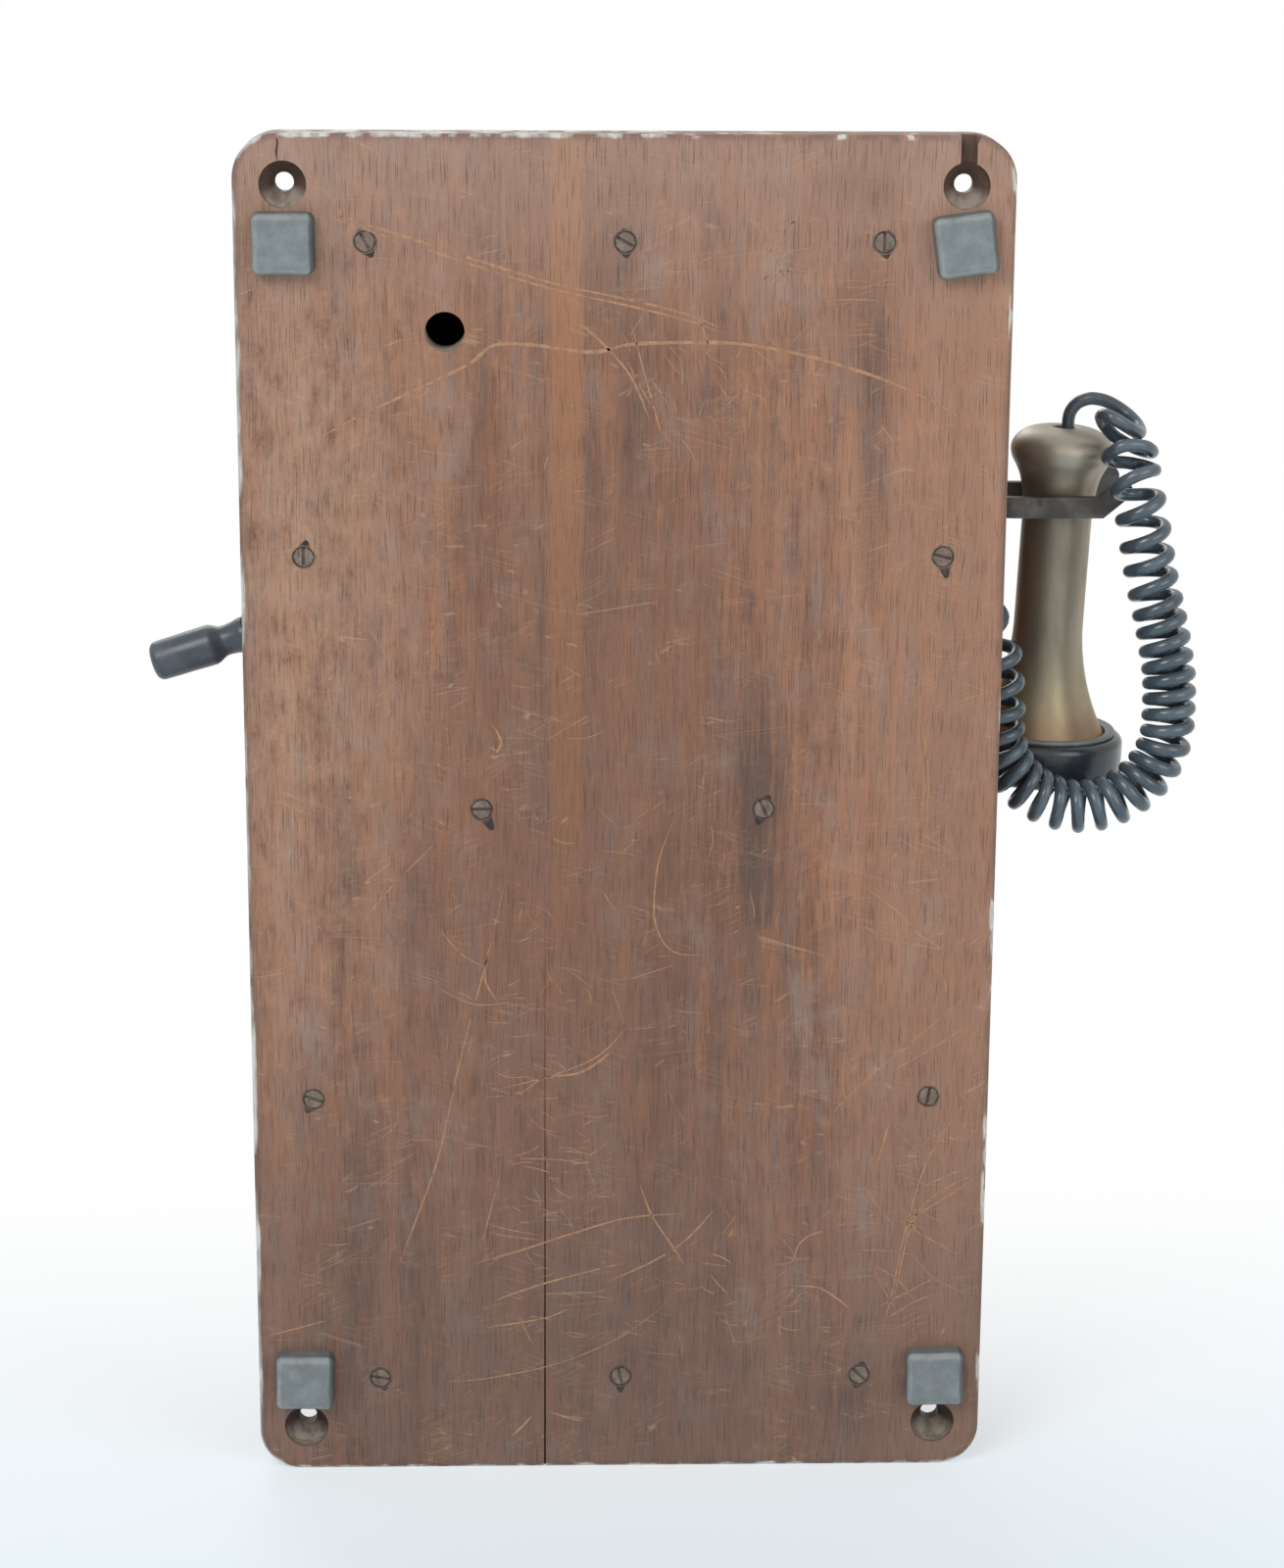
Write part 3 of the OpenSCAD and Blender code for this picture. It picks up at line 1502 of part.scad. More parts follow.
module writing_shelf() {
    lip = 7;
    edge = 6;
    color("saddlebrown") slab_x(-desk_w / 2, desk_w) polygon([
        [door_front_y, desk_z], [desk_front_y + edge, desk_z - desk_fall + edge * desk_slope],
        [desk_front_y + edge, desk_z - desk_fall + lip], [desk_front_y, desk_z - desk_fall + lip],
        [desk_front_y, desk_z - desk_fall - desk_t], [door_front_y, desk_z - desk_t]
    ]);
}

module shelf_brackets() {
    width = 12;
    deep = desk_depth * 0.75;
    tall = 62;
    inset = 22;
    under = desk_z - desk_t;
    color("saddlebrown") for (x = [-desk_w / 2 + inset, desk_w / 2 - inset - width]) {
        difference() {
            slab_x(x, width) polygon([
                [door_front_y, under], [door_front_y - deep, under - deep * desk_slope],
                [door_front_y - deep, under - deep * desk_slope - 6], [door_front_y - 8, under - tall],
                [door_front_y, under - tall]
            ]);
            translate([0, door_front_y - deep, under - tall]) {
                rod_x(2 * (deep - 14), x - eps, x + width + eps);
            }
        }
    }
}

backboard_wide_plank();
backboard_narrow_plank();
case_left_side();
case_right_side();
case_top();
case_bottom();
generator_shelf();
back_screws();
rubber_pads();
cord_bushing();
crank_bearing_bush();
hook_slot_plate();
hook_bracket();
hook_pivot_pin();
hook_return_spring();
switch_springs();
generator_base();
generator_magnets();
pole_pieces();
generator_end_plates();
dry_cells();
dry_cell_terminals();
induction_coil();
condenser();
terminal_strip();
binding_posts();
hinge_leaves_case();
hinge_pins();
latch_strike();
receiver_cord();
door_panel();
hinge_leaves_door();
left_gong();
right_gong();
gong_posts();
ringer_frame();
ringer_coils();
ringer_magnet();
writing_shelf();
shelf_brackets();
transmitter_bracket();
transmitter_pin();
ringer_armature();
clapper();
transmitter_cup();
transmitter_faceplate();
mouthpiece();
latch_knob();
latch_tongue();
crank_shaft();
drive_gear();
crank_arm();
knob_spindle();
crank_knob();
armature();
armature_pinion();
switch_hook();
receiver_shell();
ear_cap();
receiver_diaphragm();
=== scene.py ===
"""Looks for the wall telephone, seen from behind as in the photograph."""
import math
import random

import bmesh
import bpy
from mathutils import Matrix, Vector, noise


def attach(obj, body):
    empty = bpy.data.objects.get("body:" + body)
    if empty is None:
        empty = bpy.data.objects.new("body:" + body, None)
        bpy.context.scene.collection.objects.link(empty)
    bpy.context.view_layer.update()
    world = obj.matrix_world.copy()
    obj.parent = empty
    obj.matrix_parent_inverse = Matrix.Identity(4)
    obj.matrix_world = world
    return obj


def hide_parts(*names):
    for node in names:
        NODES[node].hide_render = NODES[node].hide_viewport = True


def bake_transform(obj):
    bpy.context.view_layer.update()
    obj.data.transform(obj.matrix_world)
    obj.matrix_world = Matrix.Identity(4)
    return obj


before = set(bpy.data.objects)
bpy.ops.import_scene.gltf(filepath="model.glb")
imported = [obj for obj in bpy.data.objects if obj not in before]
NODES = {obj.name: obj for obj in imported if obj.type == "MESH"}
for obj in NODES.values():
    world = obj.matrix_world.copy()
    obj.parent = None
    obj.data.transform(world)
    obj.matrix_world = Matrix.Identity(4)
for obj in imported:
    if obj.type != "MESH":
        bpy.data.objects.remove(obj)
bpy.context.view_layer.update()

MM = 0.001

# Sizes and places in millimetres, the same as in the part's source
BOARD_W = 280
BOARD_H = 515
BOARD_CORNER = 16
HOOK_POINT = Vector((-171.1, -85, 110.55))
RECEIVER_LEAN = -2.5
KNOB_POINT = Vector((136.4, -82, 60.55))
KNOB_CANT = 17.4
KNOB_BASE = 9
FLOOR_Z = -BOARD_H / 2
JOINT_X = 29
CABLE_HOLE = (64.8, 187.2)
SCREWS = [
    (93, 219.5), (0, 219.5), (-93, 219.5), (117, 104.8), (-117, 104.8), (52.5, 9.2), (-52.5, 9.2),
    (117, -104.8), (-117, -104.8), (93, -219.5), (0, -219.5), (-93, -219.5),
]


def rgb(red, green, blue):
    """A screen colour, 0 to 255, as the linear values that shaders take."""
    parts = [v / 255 for v in (red, green, blue)]
    return tuple(v / 12.92 if v <= 0.04045 else ((v + 0.055) / 1.055) ** 2.4 for v in parts) + (1.0,)


class Tree:
    """Builds the shader of a material or a world. Places in it are millimetres in the shared frame."""

    def __init__(self, name, kind="materials"):
        self.block = getattr(bpy.data, kind).new(name)
        self.block.use_nodes = True
        self.nodes = self.block.node_tree.nodes
        self.links = self.block.node_tree.links
        self.nodes.clear()

    def add(self, kind, inputs, **settings):
        """A new node. Its inputs are values or other nodes' outputs."""
        node = self.nodes.new("ShaderNode" + kind)
        for key, value in settings.items():
            setattr(node, key, value)
        for key, value in inputs.items():
            if isinstance(value, bpy.types.NodeSocket):
                self.links.new(value, node.inputs[key])
            else:
                node.inputs[key].default_value = value
        return node

    def place(self):
        """The place on the part in millimetres."""
        spot = self.add("TexCoord", {}).outputs["Object"]
        return self.add("VectorMath", {0: spot, 1: (1 / MM,) * 3}, operation="MULTIPLY").outputs[0]

    def facing(self):
        """X, Y and Z of the way in which the surface faces."""
        return self.split(self.add("TexCoord", {}).outputs["Normal"])

    def split(self, vector):
        return self.add("SeparateXYZ", {0: vector}).outputs

    def scaled(self, vector, size, shift):
        """A place in units of size, so that a texture's features have that size."""
        inputs = {"Vector": vector, "Location": shift, "Scale": [1 / s for s in size]}
        return self.add("Mapping", inputs).outputs[0]

    def noise(self, vector, size, detail=3, rough=0.55, shift=(0, 0, 0), twist=0):
        """Cloudy values round 0.5, with features of that size."""
        spot = self.scaled(vector, size, shift)
        inputs = {"Vector": spot, "Scale": 1, "Detail": detail, "Roughness": rough, "Distortion": twist}
        return self.add("TexNoise", inputs).outputs[0]

    def cracks(self, vector, size, shift, turn):
        """Distance to the borders of cells of that size, at that turn."""
        turned = self.add("VectorRotate", {"Vector": vector, "Rotation": turn}, rotation_type="EULER_XYZ")
        spot = self.scaled(turned.outputs[0], size, shift)
        return self.add("TexVoronoi", {"Vector": spot, "Scale": 1}, feature="DISTANCE_TO_EDGE").outputs[0]

    def spot(self, vector, centre, size):
        """1 at a point of the board, fading to 0 at an ellipse round it."""
        inputs = {
            "Vector": vector,
            "Location": (-centre[0] / size[0], 0, -centre[1] / size[1]),
            "Scale": (1 / size[0], 0, 1 / size[1]),
        }
        near = self.add("Mapping", inputs).outputs[0]
        return self.add("TexGradient", {"Vector": near}, gradient_type="SPHERICAL").outputs[1]

    def band(self, value, low, high, start=0.0, end=1.0):
        """start below low, end above high, and smooth between them."""
        inputs = {"Value": value, "From Min": low, "From Max": high, "To Min": start, "To Max": end}
        return self.add("MapRange", inputs, interpolation_type="SMOOTHSTEP").outputs[0]

    def calc(self, operation, a, b=0.0):
        """One step of arithmetic on values or outputs."""
        return self.add("Math", {0: a, 1: b}, operation=operation).outputs[0]

    def product(self, *values):
        total = values[0]
        for value in values[1:]:
            total = self.calc("MULTIPLY", total, value)
        return total

    def plus(self, a, b):
        return self.calc("ADD", a, b)

    def minus(self, a, b):
        return self.calc("SUBTRACT", a, b)

    def mix(self, amount, a, b):
        """Colour a, with that amount of b."""
        return self.add("Mix", {0: amount, 6: a, 7: b}, data_type="RGBA").outputs[2]

    def tint(self, color, value, low, high, share, tone):
        """A colour with up to that share of a tone, where value goes from low to high."""
        return self.mix(self.band(value, low, high, 0.0, share), color, tone)

    def ramp(self, value, *stops):
        """Colours by stops of (position, colour)."""
        node = self.add("ValToRGB", {0: value})
        points = node.color_ramp.elements
        while len(points) < len(stops):
            points.new(1.0)
        for point, (position, color) in zip(points, stops):
            point.position = position
            point.color = color
        return node.outputs[0]

    def bump(self, height, depth):
        """Bump whose height of 1 stands depth millimetres proud."""
        return self.add("Bump", {"Height": height, "Strength": 1.0, "Distance": depth * MM}).outputs[0]

    def seen(self):
        """1 for rays from the camera, from metal and through glass, and otherwise 0."""
        path = self.add("LightPath", {}).outputs
        shown = self.calc("MAXIMUM", path["Is Camera Ray"], path["Is Glossy Ray"])
        return self.calc("MAXIMUM", shown, path["Is Transmission Ray"])

    def surface(self, color, rough, normal, metal=0.0, specular=0.5, coat=0.0):
        """Ends the tree in a surface and returns the material."""
        inputs = {
            "Base Color": color,
            "Roughness": rough,
            "Metallic": metal,
            "Specular IOR Level": specular,
            "Coat Weight": coat,
            "Normal": normal,
        }
        shader = self.add("BsdfPrincipled", inputs)
        self.add("OutputMaterial", {"Surface": shader.outputs[0]})
        return self.block


def show(name, data):
    """A new object in the scene."""
    item = bpy.data.objects.new(name, data)
    bpy.context.scene.collection.objects.link(item)
    return item


def make_camera():
    """The camera at the photograph's viewing angle, in millimetres and degrees."""
    spot = Vector((32.71, 1302.21, 366.78))
    aside = 1.75
    down = 14.951
    tilt = 0.332
    pixels_long = 1600
    focal_pixels = 3700
    sensor = 36
    camera = bpy.data.cameras.new("camera")
    camera.sensor_width = sensor
    camera.lens = focal_pixels / pixels_long * sensor
    camera.clip_start = 0.01
    camera.clip_end = 50
    eye = show("camera", camera)
    place = Matrix.Translation(spot * MM)
    yaw = Matrix.Rotation(math.radians(180 - aside), 4, "Z")
    pitch = Matrix.Rotation(math.radians(90 - down), 4, "X")
    roll = Matrix.Rotation(math.radians(tilt), 4, "Z")
    eye.matrix_world = place @ yaw @ pitch @ roll
    bpy.context.scene.camera = eye


# Mesh pieces, drawn in millimetres
def add_piece(name, bm, material, body, sharp=35):
    """Makes a piece of a mesh, smooth except at edges sharper than that angle, and lets it ride on a body."""
    bmesh.ops.scale(bm, vec=(MM, MM, MM), verts=bm.verts)
    limit = math.radians(sharp)
    for face in bm.faces:
        face.smooth = True
    for edge in bm.edges:
        edge.smooth = len(edge.link_faces) != 2 or edge.calc_face_angle(0) < limit
    mesh = bpy.data.meshes.new(name)
    bm.to_mesh(mesh)
    bm.free()
    mesh.materials.append(material)
    piece = show(name, mesh)
    if body:
        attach(piece, body)
    return piece


def lathe(name, profile, place, material, body, segments=96):
    """A piece turned from a profile of (radius, height) about Z, at a place."""
    bm = bmesh.new()
    rings = []
    for radius, height in profile:
        count = segments if radius > 1e-4 else 1
        angles = [2 * math.pi * i / segments for i in range(count)]
        rings.append([
            bm.verts.new(place @ Vector((radius * math.cos(a), radius * math.sin(a), height))) for a in angles
        ])
    for low, high in zip(rings, rings[1:]):
        for i in range(segments):
            j = (i + 1) % segments
            corners = [low[i % len(low)], low[j % len(low)], high[j % len(high)], high[i % len(high)]]
            unique = list(dict.fromkeys(corners))
            if len(unique) > 2:
                bm.faces.new(unique)
    bmesh.ops.recalc_face_normals(bm, faces=bm.faces)
    return add_piece(name, bm, material, body)


def arc(centre, radius, start, end, steps):
    """Points on an arc in a profile, by angles in degrees."""
    turns = [math.radians(start + (end - start) * i / steps) for i in range(steps + 1)]
    return [(centre[0] + radius * math.cos(a), centre[1] + radius * math.sin(a)) for a in turns]


def smooth_line(points, steps):
    """A smooth line through points, by the same spline as in the part's source."""
    points = [Vector(p) for p in points]
    line = []
    for i in range(len(points) - 1):
        a = points[max(i - 1, 0)]
        b = points[i]
        c = points[i + 1]
        d = points[min(i + 2, len(points) - 1)]
        for k in range(steps):
            t = k / steps
            line.append(0.5 * (
                2 * b + (c - a) * t + (2 * a - 5 * b + 4 * c - d) * t ** 2 + (3 * b - a - 3 * c + d) * t ** 3
            ))
    line.append(points[-1])
    return line


def bridge(bm, rings):
    """Faces between closed rings that have as many points each."""
    count = len(rings[0])
    for low, high in zip(rings, rings[1:]):
        for i in range(count):
            j = (i + 1) % count
            bm.faces.new([low[i], low[j], high[j], high[i]])


def tube(bm, line, radius, sides):
    """A closed tube along a line, with its rings turned as little as possible."""
    rings = []
    side = None
    for i, point in enumerate(line):
        way = (line[min(i + 1, len(line) - 1)] - line[max(i - 1, 0)]).normalized()
        side = way.orthogonal() if side is None else side - way * side.dot(way)
        side.normalize()
        up = way.cross(side)
        turns = [2 * math.pi * k / sides for k in range(sides)]
        rings.append([bm.verts.new(point + radius * (side * math.cos(a) + up * math.sin(a))) for a in turns])
    bridge(bm, rings)
    bm.faces.new(rings[0][::-1])
    bm.faces.new(rings[-1])


# Curly cord. The route and the curls are those of the part's source, with finer rings and a rounder end.
# CORD_START, traced from the photograph, takes the place of the curls before JOIN_TURN.
# A run of curls is (number of turns, pitch), and the curls grow and fade within a number of turns.
CORD_D = 5
CORD_SIDES = 14
CURL_RINGS = 24
CURL_R = 7.95
CURL_LEAD = 23
CURL_RUNS = [
    (0.5, 44), (4.5, 11.2), (2.5, 9), (3, 7.3), (4, 6.35), (12.5, 7.35), (2.5, 8.5), (2, 11), (1, 22),
]
FADE_IN = 0.6
FADE_OUT = 1
CORD_ARCH = [
    (-173.2, -85, 131.3), (-173.6, -85, 140.5), (-175.5, -85, 145), (-177.5, -84, 148.5),
    (-180.5, -82.5, 150.5), (-184.5, -80, 151.5), (-188.5, -77, 151), (-192.5, -73, 149),
]
CORD_HANG = [
    (-194, -69, 145.5), (-194, -65, 141), (-194, -61, 136.5), (-195, -58.5, 130.5), (-196.5, -53.8, 120),
    (-199, -52.4, 108), (-201, -52, 97), (-203, -51.5, 86.5), (-205, -50.5, 78), (-207, -49.5, 69.5),
    (-209, -48, 59), (-210.5, -46, 48),
]
CORD_START = [
    (-173.2, -85, 131.3), (-173.8, -85, 136.4), (-174, -85, 142.1), (-174.9, -85, 145.4),
    (-177.2, -84.5, 148.4), (-180.4, -84, 149.9), (-183.4, -83.5, 150.3), (-187.7, -83, 149.5),
    (-192.3, -82, 147.3), (-196.4, -80, 144.4), (-199, -76.5, 141.8), (-199.5, -70.5, 140.2),
    (-198, -64, 140), (-194.5, -58.8, 142.3), (-190.6, -56, 144.8), (-186.7, -55.4, 147.1),
    (-184, -57.7, 148), (-183, -61.5, 146.9), (-184.1, -65.2, 144.4), (-186.3, -67.8, 141.4),
    (-189.3, -69.5, 138.2), (-193.4, -70.5, 135.5), (-197.7, -70.5, 133.3), (-201.2, -68.8, 132.3),
    (-203.2, -65, 132.4), (-202.7, -59.5, 133.9), (-200, -55, 136.1), (-195.6, -52.8, 137.3),
    (-191.3, -52, 137.3), (-187.6, -53, 135.8), (-185.5, -56.5, 133.2), (-186, -61, 130.8),
    (-188.9, -64.5, 129), (-194.4, -66.5, 128.2), (-199.4, -65, 127.5), (-202.3, -61, 127.1),
]
JOIN_TURN = 2.5
BEND_X = -177.5
BEND_Z = 32
BEND_R = 33
BEND_Y = (-44, -40)
CORD_RISE = [
    (-144.5, -40, 42), (-143.5, -40, 51), (-142.2, -40, 61), (-140.8, -40, 71), (-139.7, -40, 79),
    (-138.7, -40, 84.6), (-136.7, -40, 88.4), (-133.2, -40, 91.1), (-129, -40, 92), (-125.5, -40, 92),
]


def cord_bend():
    """The low bend of the cord, half a circle in steps of 15 degrees."""
    points = []
    for degrees in range(0, 181, 15):
        a = math.radians(degrees)
        y = BEND_Y[0] + (BEND_Y[1] - BEND_Y[0]) * min(1, degrees / 90)
        points.append((BEND_X - BEND_R * math.cos(a), y, BEND_Z - BEND_R * math.sin(a)))
    return points


class Route:
    """A line that is measured along its length."""

    def __init__(self, points):
        self.points = points
        self.lengths = [0.0]
        for a, b in zip(points, points[1:]):
            self.lengths.append(self.lengths[-1] + (b - a).length)
        self.end = self.lengths[-1]

    def at(self, s):
        """The point at a length along the line."""
        s = min(max(s, 0.0), self.end)
        i = 0
        while i < len(self.lengths) - 2 and self.lengths[i + 1] < s:
            i += 1
        span = self.lengths[i + 1] - self.lengths[i]
        return self.points[i].lerp(self.points[i + 1], (s - self.lengths[i]) / span)

    def way(self, s):
        """The direction of the line there."""
        return (self.at(s + 1) - self.at(s - 1)).normalized()


def cord_line():
    """Points along the curly cord: its start at the receiver, its curls and its end at the bushing."""
    route_steps = 8
    start_steps = 6
    tail_steps = 12
    ahead = 3
    route = Route(smooth_line(CORD_ARCH + CORD_HANG + cord_bend() + CORD_RISE, route_steps))
    turns = sum(run[0] for run in CURL_RUNS)
    stations = []
    start_turn = 0.0
    start_s = CURL_LEAD
    for count, pitch in CURL_RUNS:
        for k in range(round(count * CURL_RINGS)):
            stations.append((start_s + k / CURL_RINGS * pitch, start_turn + k / CURL_RINGS))
        start_turn += count
        start_s += count * pitch
    stations = [station for station in stations if station[1] >= JOIN_TURN]
    stations += [(start_s + (route.end - start_s) * i / tail_steps, turns) for i in range(tail_steps + 1)]
    curls = []
    for s, turn in stations:
        way = route.way(s)
        side = Vector((0, 1, 0)).cross(way).normalized()
        up = way.cross(side)
        a = math.radians(360 * (turn - 0.5))
        t = min(turn / FADE_IN, (turns - turn) / FADE_OUT, 1)
        out = CURL_R * t * t * (3 - 2 * t)
        curls.append(route.at(s) + out * (side * math.cos(a) + up * math.sin(a)))
    start = smooth_line(CORD_START + [curls[0], curls[ahead]], start_steps)
    return start[:-start_steps - 1] + curls


def make_cord(material):
    """The curly cord, one tube from the receiver to the case."""
    line = cord_line()[::-1]
    bm = bmesh.new()
    tube(bm, line, CORD_D / 2, CORD_SIDES)
    cord = add_piece("curly_cord", bm, material, None, sharp=60)
    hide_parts("receiver_cord")
    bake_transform(cord)


# Materials
def cord_vinyl(name):
    """Dusty vinyl of the cord."""
    t = Tree(name)
    here = t.place()
    dust_and_light = t.noise(here, (14, 14, 14), 4)
    fine = t.noise(here, (0.8, 0.8, 0.8), 2)
    color = t.mix(t.band(dust_and_light, 0.35, 0.75), rgb(63, 75, 84), rgb(87, 100, 109))
    rough = t.band(t.plus(dust_and_light, t.product(fine, 0.3)), 0.4, 0.9, 0.17, 0.3)
    return t.surface(color, rough, t.bump(fine, 0.008), specular=0.65)


# The wire groove's mouth, stains as (centre, half size, depth), and scuffs as (turn, cell size, width)
WIRE_GROOVE = (-120, 252)
BOARD_STAINS = [
    ((-51, 14), (12, 58), 2.2), ((-51, -30), (18, 70), 0.6), ((4.8, 206), (12, 34), 0.7),
    ((-86.3, 187), (15, 40), 0.8), ((-2, 151), (7, 50), 0.8), ((-90.5, 140), (8, 70), 0.8),
    ((-87.4, -229), (28, 30), 0.7), ((71.8, -57), (28, 70), 0.4), ((107, -156), (38, 90), 0.4),
    ((-80, 239), (14, 11), 0.5), ((-92, 236), (9, 9), 0.5), ((20, -200), (80, 60), 0.3),
    ((-120, 20), (20, 120), 0.25), ((90, -10), (30, 60), 0.3),
]
BOARD_SCUFFS = [(62, (1.6, 30, 46), 0.02), (108, (2.2, 30, 60), 0.018), (84, (3, 30, 80), 0.012)]


def board_wood(name, shift):
    """Old bare wood of the backboard. The shift gives each plank a grain of its own."""
    t = Tree(name)
    here = t.place()
    x, y, z = t.split(here)[:3]

    # Grain, fibres and patches
    waver = t.noise(here, (70, 70, 140), 2, shift=shift)
    bent = t.add("CombineXYZ", {0: t.plus(x, t.product(waver, 7)), 1: y, 2: z}).outputs[0]
    streak = t.noise(bent, (2.2, 2.2, 75), 6, 0.62, shift=shift)
    broad = t.noise(bent, (21, 21, 330), 3, shift=shift)
    cloud = t.noise(here, (20, 20, 30), 5, 0.62, shift=shift)
    pores = t.noise(bent, (0.42, 0.42, 15), 4, shift=shift)
    fibre = t.noise(bent, (0.5, 0.5, 24), 4, 0.6, shift=shift)
    hue = t.noise(bent, (7, 7, 55), 6, 0.66, shift=(shift[0] + 50, shift[1], shift[2]))
    mottle = t.noise(bent, (6, 6, 11), 7, 0.7, shift=shift)

    color = t.ramp(
        t.plus(t.product(streak, 0.4), t.product(broad, 0.6)),
        (0.36, rgb(116, 80, 63)), (0.5, rgb(144, 103, 82)), (0.64, rgb(164, 121, 97)),
    )
    color = t.tint(color, fibre, 0.5, 0.7, 0.45, rgb(178, 138, 113))
    color = t.tint(color, hue, 0.5, 0.68, 0.5, rgb(172, 114, 80))
    color = t.tint(color, hue, 0.5, 0.32, 0.5, rgb(124, 109, 104))
    color = t.tint(color, mottle, 0.53, 0.7, 0.45, rgb(184, 134, 102))
    color = t.tint(color, mottle, 0.45, 0.31, 0.55, rgb(98, 80, 75))
    color = t.tint(color, cloud, 0.5, 0.72, 0.55, rgb(158, 138, 128))
    color = t.tint(color, cloud, 0.46, 0.3, 0.45, rgb(94, 72, 64))

    # A warm stripe beside the joint, the paler sides and top, and the darker middle and foot
    stripe = t.product(t.band(x, 14, 16.5), t.band(x, 28, 25), t.band(z, -90, 30, 0.0, 0.7))
    color = t.mix(stripe, color, rgb(176, 121, 84))
    warm = t.product(t.spot(here, (120, 120), (60, 260)), t.band(mottle, 0.3, 0.62))
    color = t.mix(t.product(warm, 0.75), color, rgb(176, 141, 119))
    color = t.tint(color, x, -70, -118, 0.5, rgb(170, 128, 105))
    middle = t.spot(here, (12, -10), (105, 330))
    color = t.tint(color, middle, 0.0, 0.9, 0.6, rgb(112, 81, 67))
    color = t.tint(color, z, -20, -250, 0.55, rgb(99, 84, 79))
    color = t.tint(color, z, 170, 262, 0.5, rgb(166, 138, 124))

    # Stains, pores and scuffs
    stain = 0.0
    for centre, size, depth in BOARD_STAINS:
        stain = t.plus(t.product(t.spot(here, centre, size), depth), stain)
    ragged = t.product(t.band(streak, 0.38, 0.6, 0.2, 1.0), t.band(cloud, 0.3, 0.66, 0.35, 1.0))
    color = t.mix(t.calc("MINIMUM", t.product(stain, ragged), 0.7), color, rgb(82, 66, 61))

    pore = t.band(pores, 0.45, 0.32)
    color = t.mix(t.product(pore, 0.5), color, rgb(80, 66, 61))

    scratch = 0.0
    for turn, size, limit in BOARD_SCUFFS:
        lines = t.band(t.cracks(here, size, shift=shift, turn=(0, math.radians(turn), 0)), limit, limit / 3)
        some = t.band(t.noise(here, (26, 26, 16), shift=(turn, 0, 0)), 0.52, 0.62)
        scratch = t.calc("MAXIMUM", t.product(lines, some), scratch)
    color = t.mix(t.product(scratch, 0.45), color, rgb(190, 150, 118))

    # Distance inside the board's rounded outline
    across = t.minus(t.calc("ABSOLUTE", x), BOARD_W / 2 - BOARD_CORNER)
    along = t.minus(t.calc("ABSOLUTE", z), BOARD_H / 2 - BOARD_CORNER)
    reach_x = t.calc("MAXIMUM", across, 0.0)
    reach_z = t.calc("MAXIMUM", along, 0.0)
    round_part = t.calc("SQRT", t.plus(t.product(reach_x, reach_x), t.product(reach_z, reach_z)))
    flat_part = t.calc("MINIMUM", t.calc("MAXIMUM", across, along), 0.0)
    inside = t.minus(BOARD_CORNER, t.plus(round_part, flat_part))

    # Old cream paint on the edges, chipped through to the wood
    chips = t.noise(here, (9, 9, 28), 3, 0.5)
    keep = t.plus(t.band(x, -130, 60, 0.60, 0.40), t.band(z, 246, 256, 0.0, 0.06))
    painted_end = t.product(t.band(z, -249, -255), t.band(x, 32, 28), 0.16)
    keep = t.minus(keep, painted_end)
    rim = t.band(t.minus(inside, t.product(t.minus(chips, 0.5), 4)), 1.5, 0.4)
    paint = t.product(rim, t.band(t.minus(chips, keep), -0.02, 0.03))
    dirt = t.noise(here, (3, 3, 9), 4)

    # Painted shade in the countersinks, the holes and the wire groove, and a pale tone on the cable hole's
    # wall
    hollow = t.product(t.band(y, -0.5, -2.5), t.band(y, -15.6, -13.5))
    groove = t.band(t.spot(here, WIRE_GROOVE, (9, 16)), 0.1, 0.5)
    within = t.calc("MAXIMUM", t.band(inside, 1.5, 4), groove)
    lip = t.band(t.spot(here, CABLE_HOLE, (12, 12)), 0.2, 0.3)
    grime_and_shade = t.mix(lip, rgb(56, 45, 41), rgb(190, 178, 166))
    # Painted shade: the recess surfaces are darkened where light would not reach
    color = t.mix(t.product(hollow, within, 0.72), color, grime_and_shade)
    # Faces in these hollows that look up are paler: dust, and painted light where the light falls on them
    upward = t.facing()[2]
    dust_and_light = t.product(hollow, within, t.band(upward, 0.1, 0.55), t.band(dirt, 0.3, 0.6, 0.35, 0.8))
    color = t.mix(dust_and_light, color, rgb(180, 168, 154))

    # The paint and the worn edge go over the rest
    cream = t.mix(t.band(dirt, 0.4, 0.7), rgb(214, 211, 203), rgb(176, 168, 156))
    color = t.mix(paint, color, cream)
    worn = t.product(t.band(inside, 3.5, 0.4), t.band(chips, 0.62, 0.45), 0.45)
    color = t.mix(worn, color, rgb(98, 80, 74))

    rough = t.plus(t.band(cloud, 0.3, 0.7, 0.5, 0.64), t.product(pore, 0.12))
    height = t.minus(t.plus(t.product(fibre, 0.5), paint), pore)
    return t.surface(color, rough, t.bump(height, 0.09), specular=0.3)


def case_wood(name, along):
    """Varnished case wood with its grain along X (0), Y (1) or Z (2)."""
    t = Tree(name)
    here = t.place()

    def size(across, length):
        return tuple(length if axis == along else across for axis in range(3))

    waver = t.noise(here, size(50, 120), 2)
    shift = t.add("VectorMath", {0: here, 1: waver}, operation="ADD").outputs[0]
    streak = t.noise(shift, size(3.2, 130), 5, twist=0.4)
    broad = t.noise(here, size(30, 150), 3)
    pores = t.noise(here, size(0.5, 11), 2)
    wear = t.noise(here, (40, 40, 40), 5, 0.65)
    color = t.ramp(
        t.plus(t.product(streak, 0.6), t.product(broad, 0.4)),
        (0.3, rgb(74, 42, 28)), (0.5, rgb(112, 68, 44)), (0.7, rgb(142, 92, 60)),
    )
    pore = t.band(pores, 0.36, 0.28)
    color = t.mix(t.product(pore, 0.6), color, rgb(48, 27, 18))
    color = t.tint(color, wear, 0.6, 0.75, 0.35, rgb(150, 108, 78))
    rough = t.band(wear, 0.35, 0.7, 0.26, 0.42)
    return t.surface(color, rough, t.bump(t.minus(streak, pore), 0.05), specular=0.45, coat=0.25)


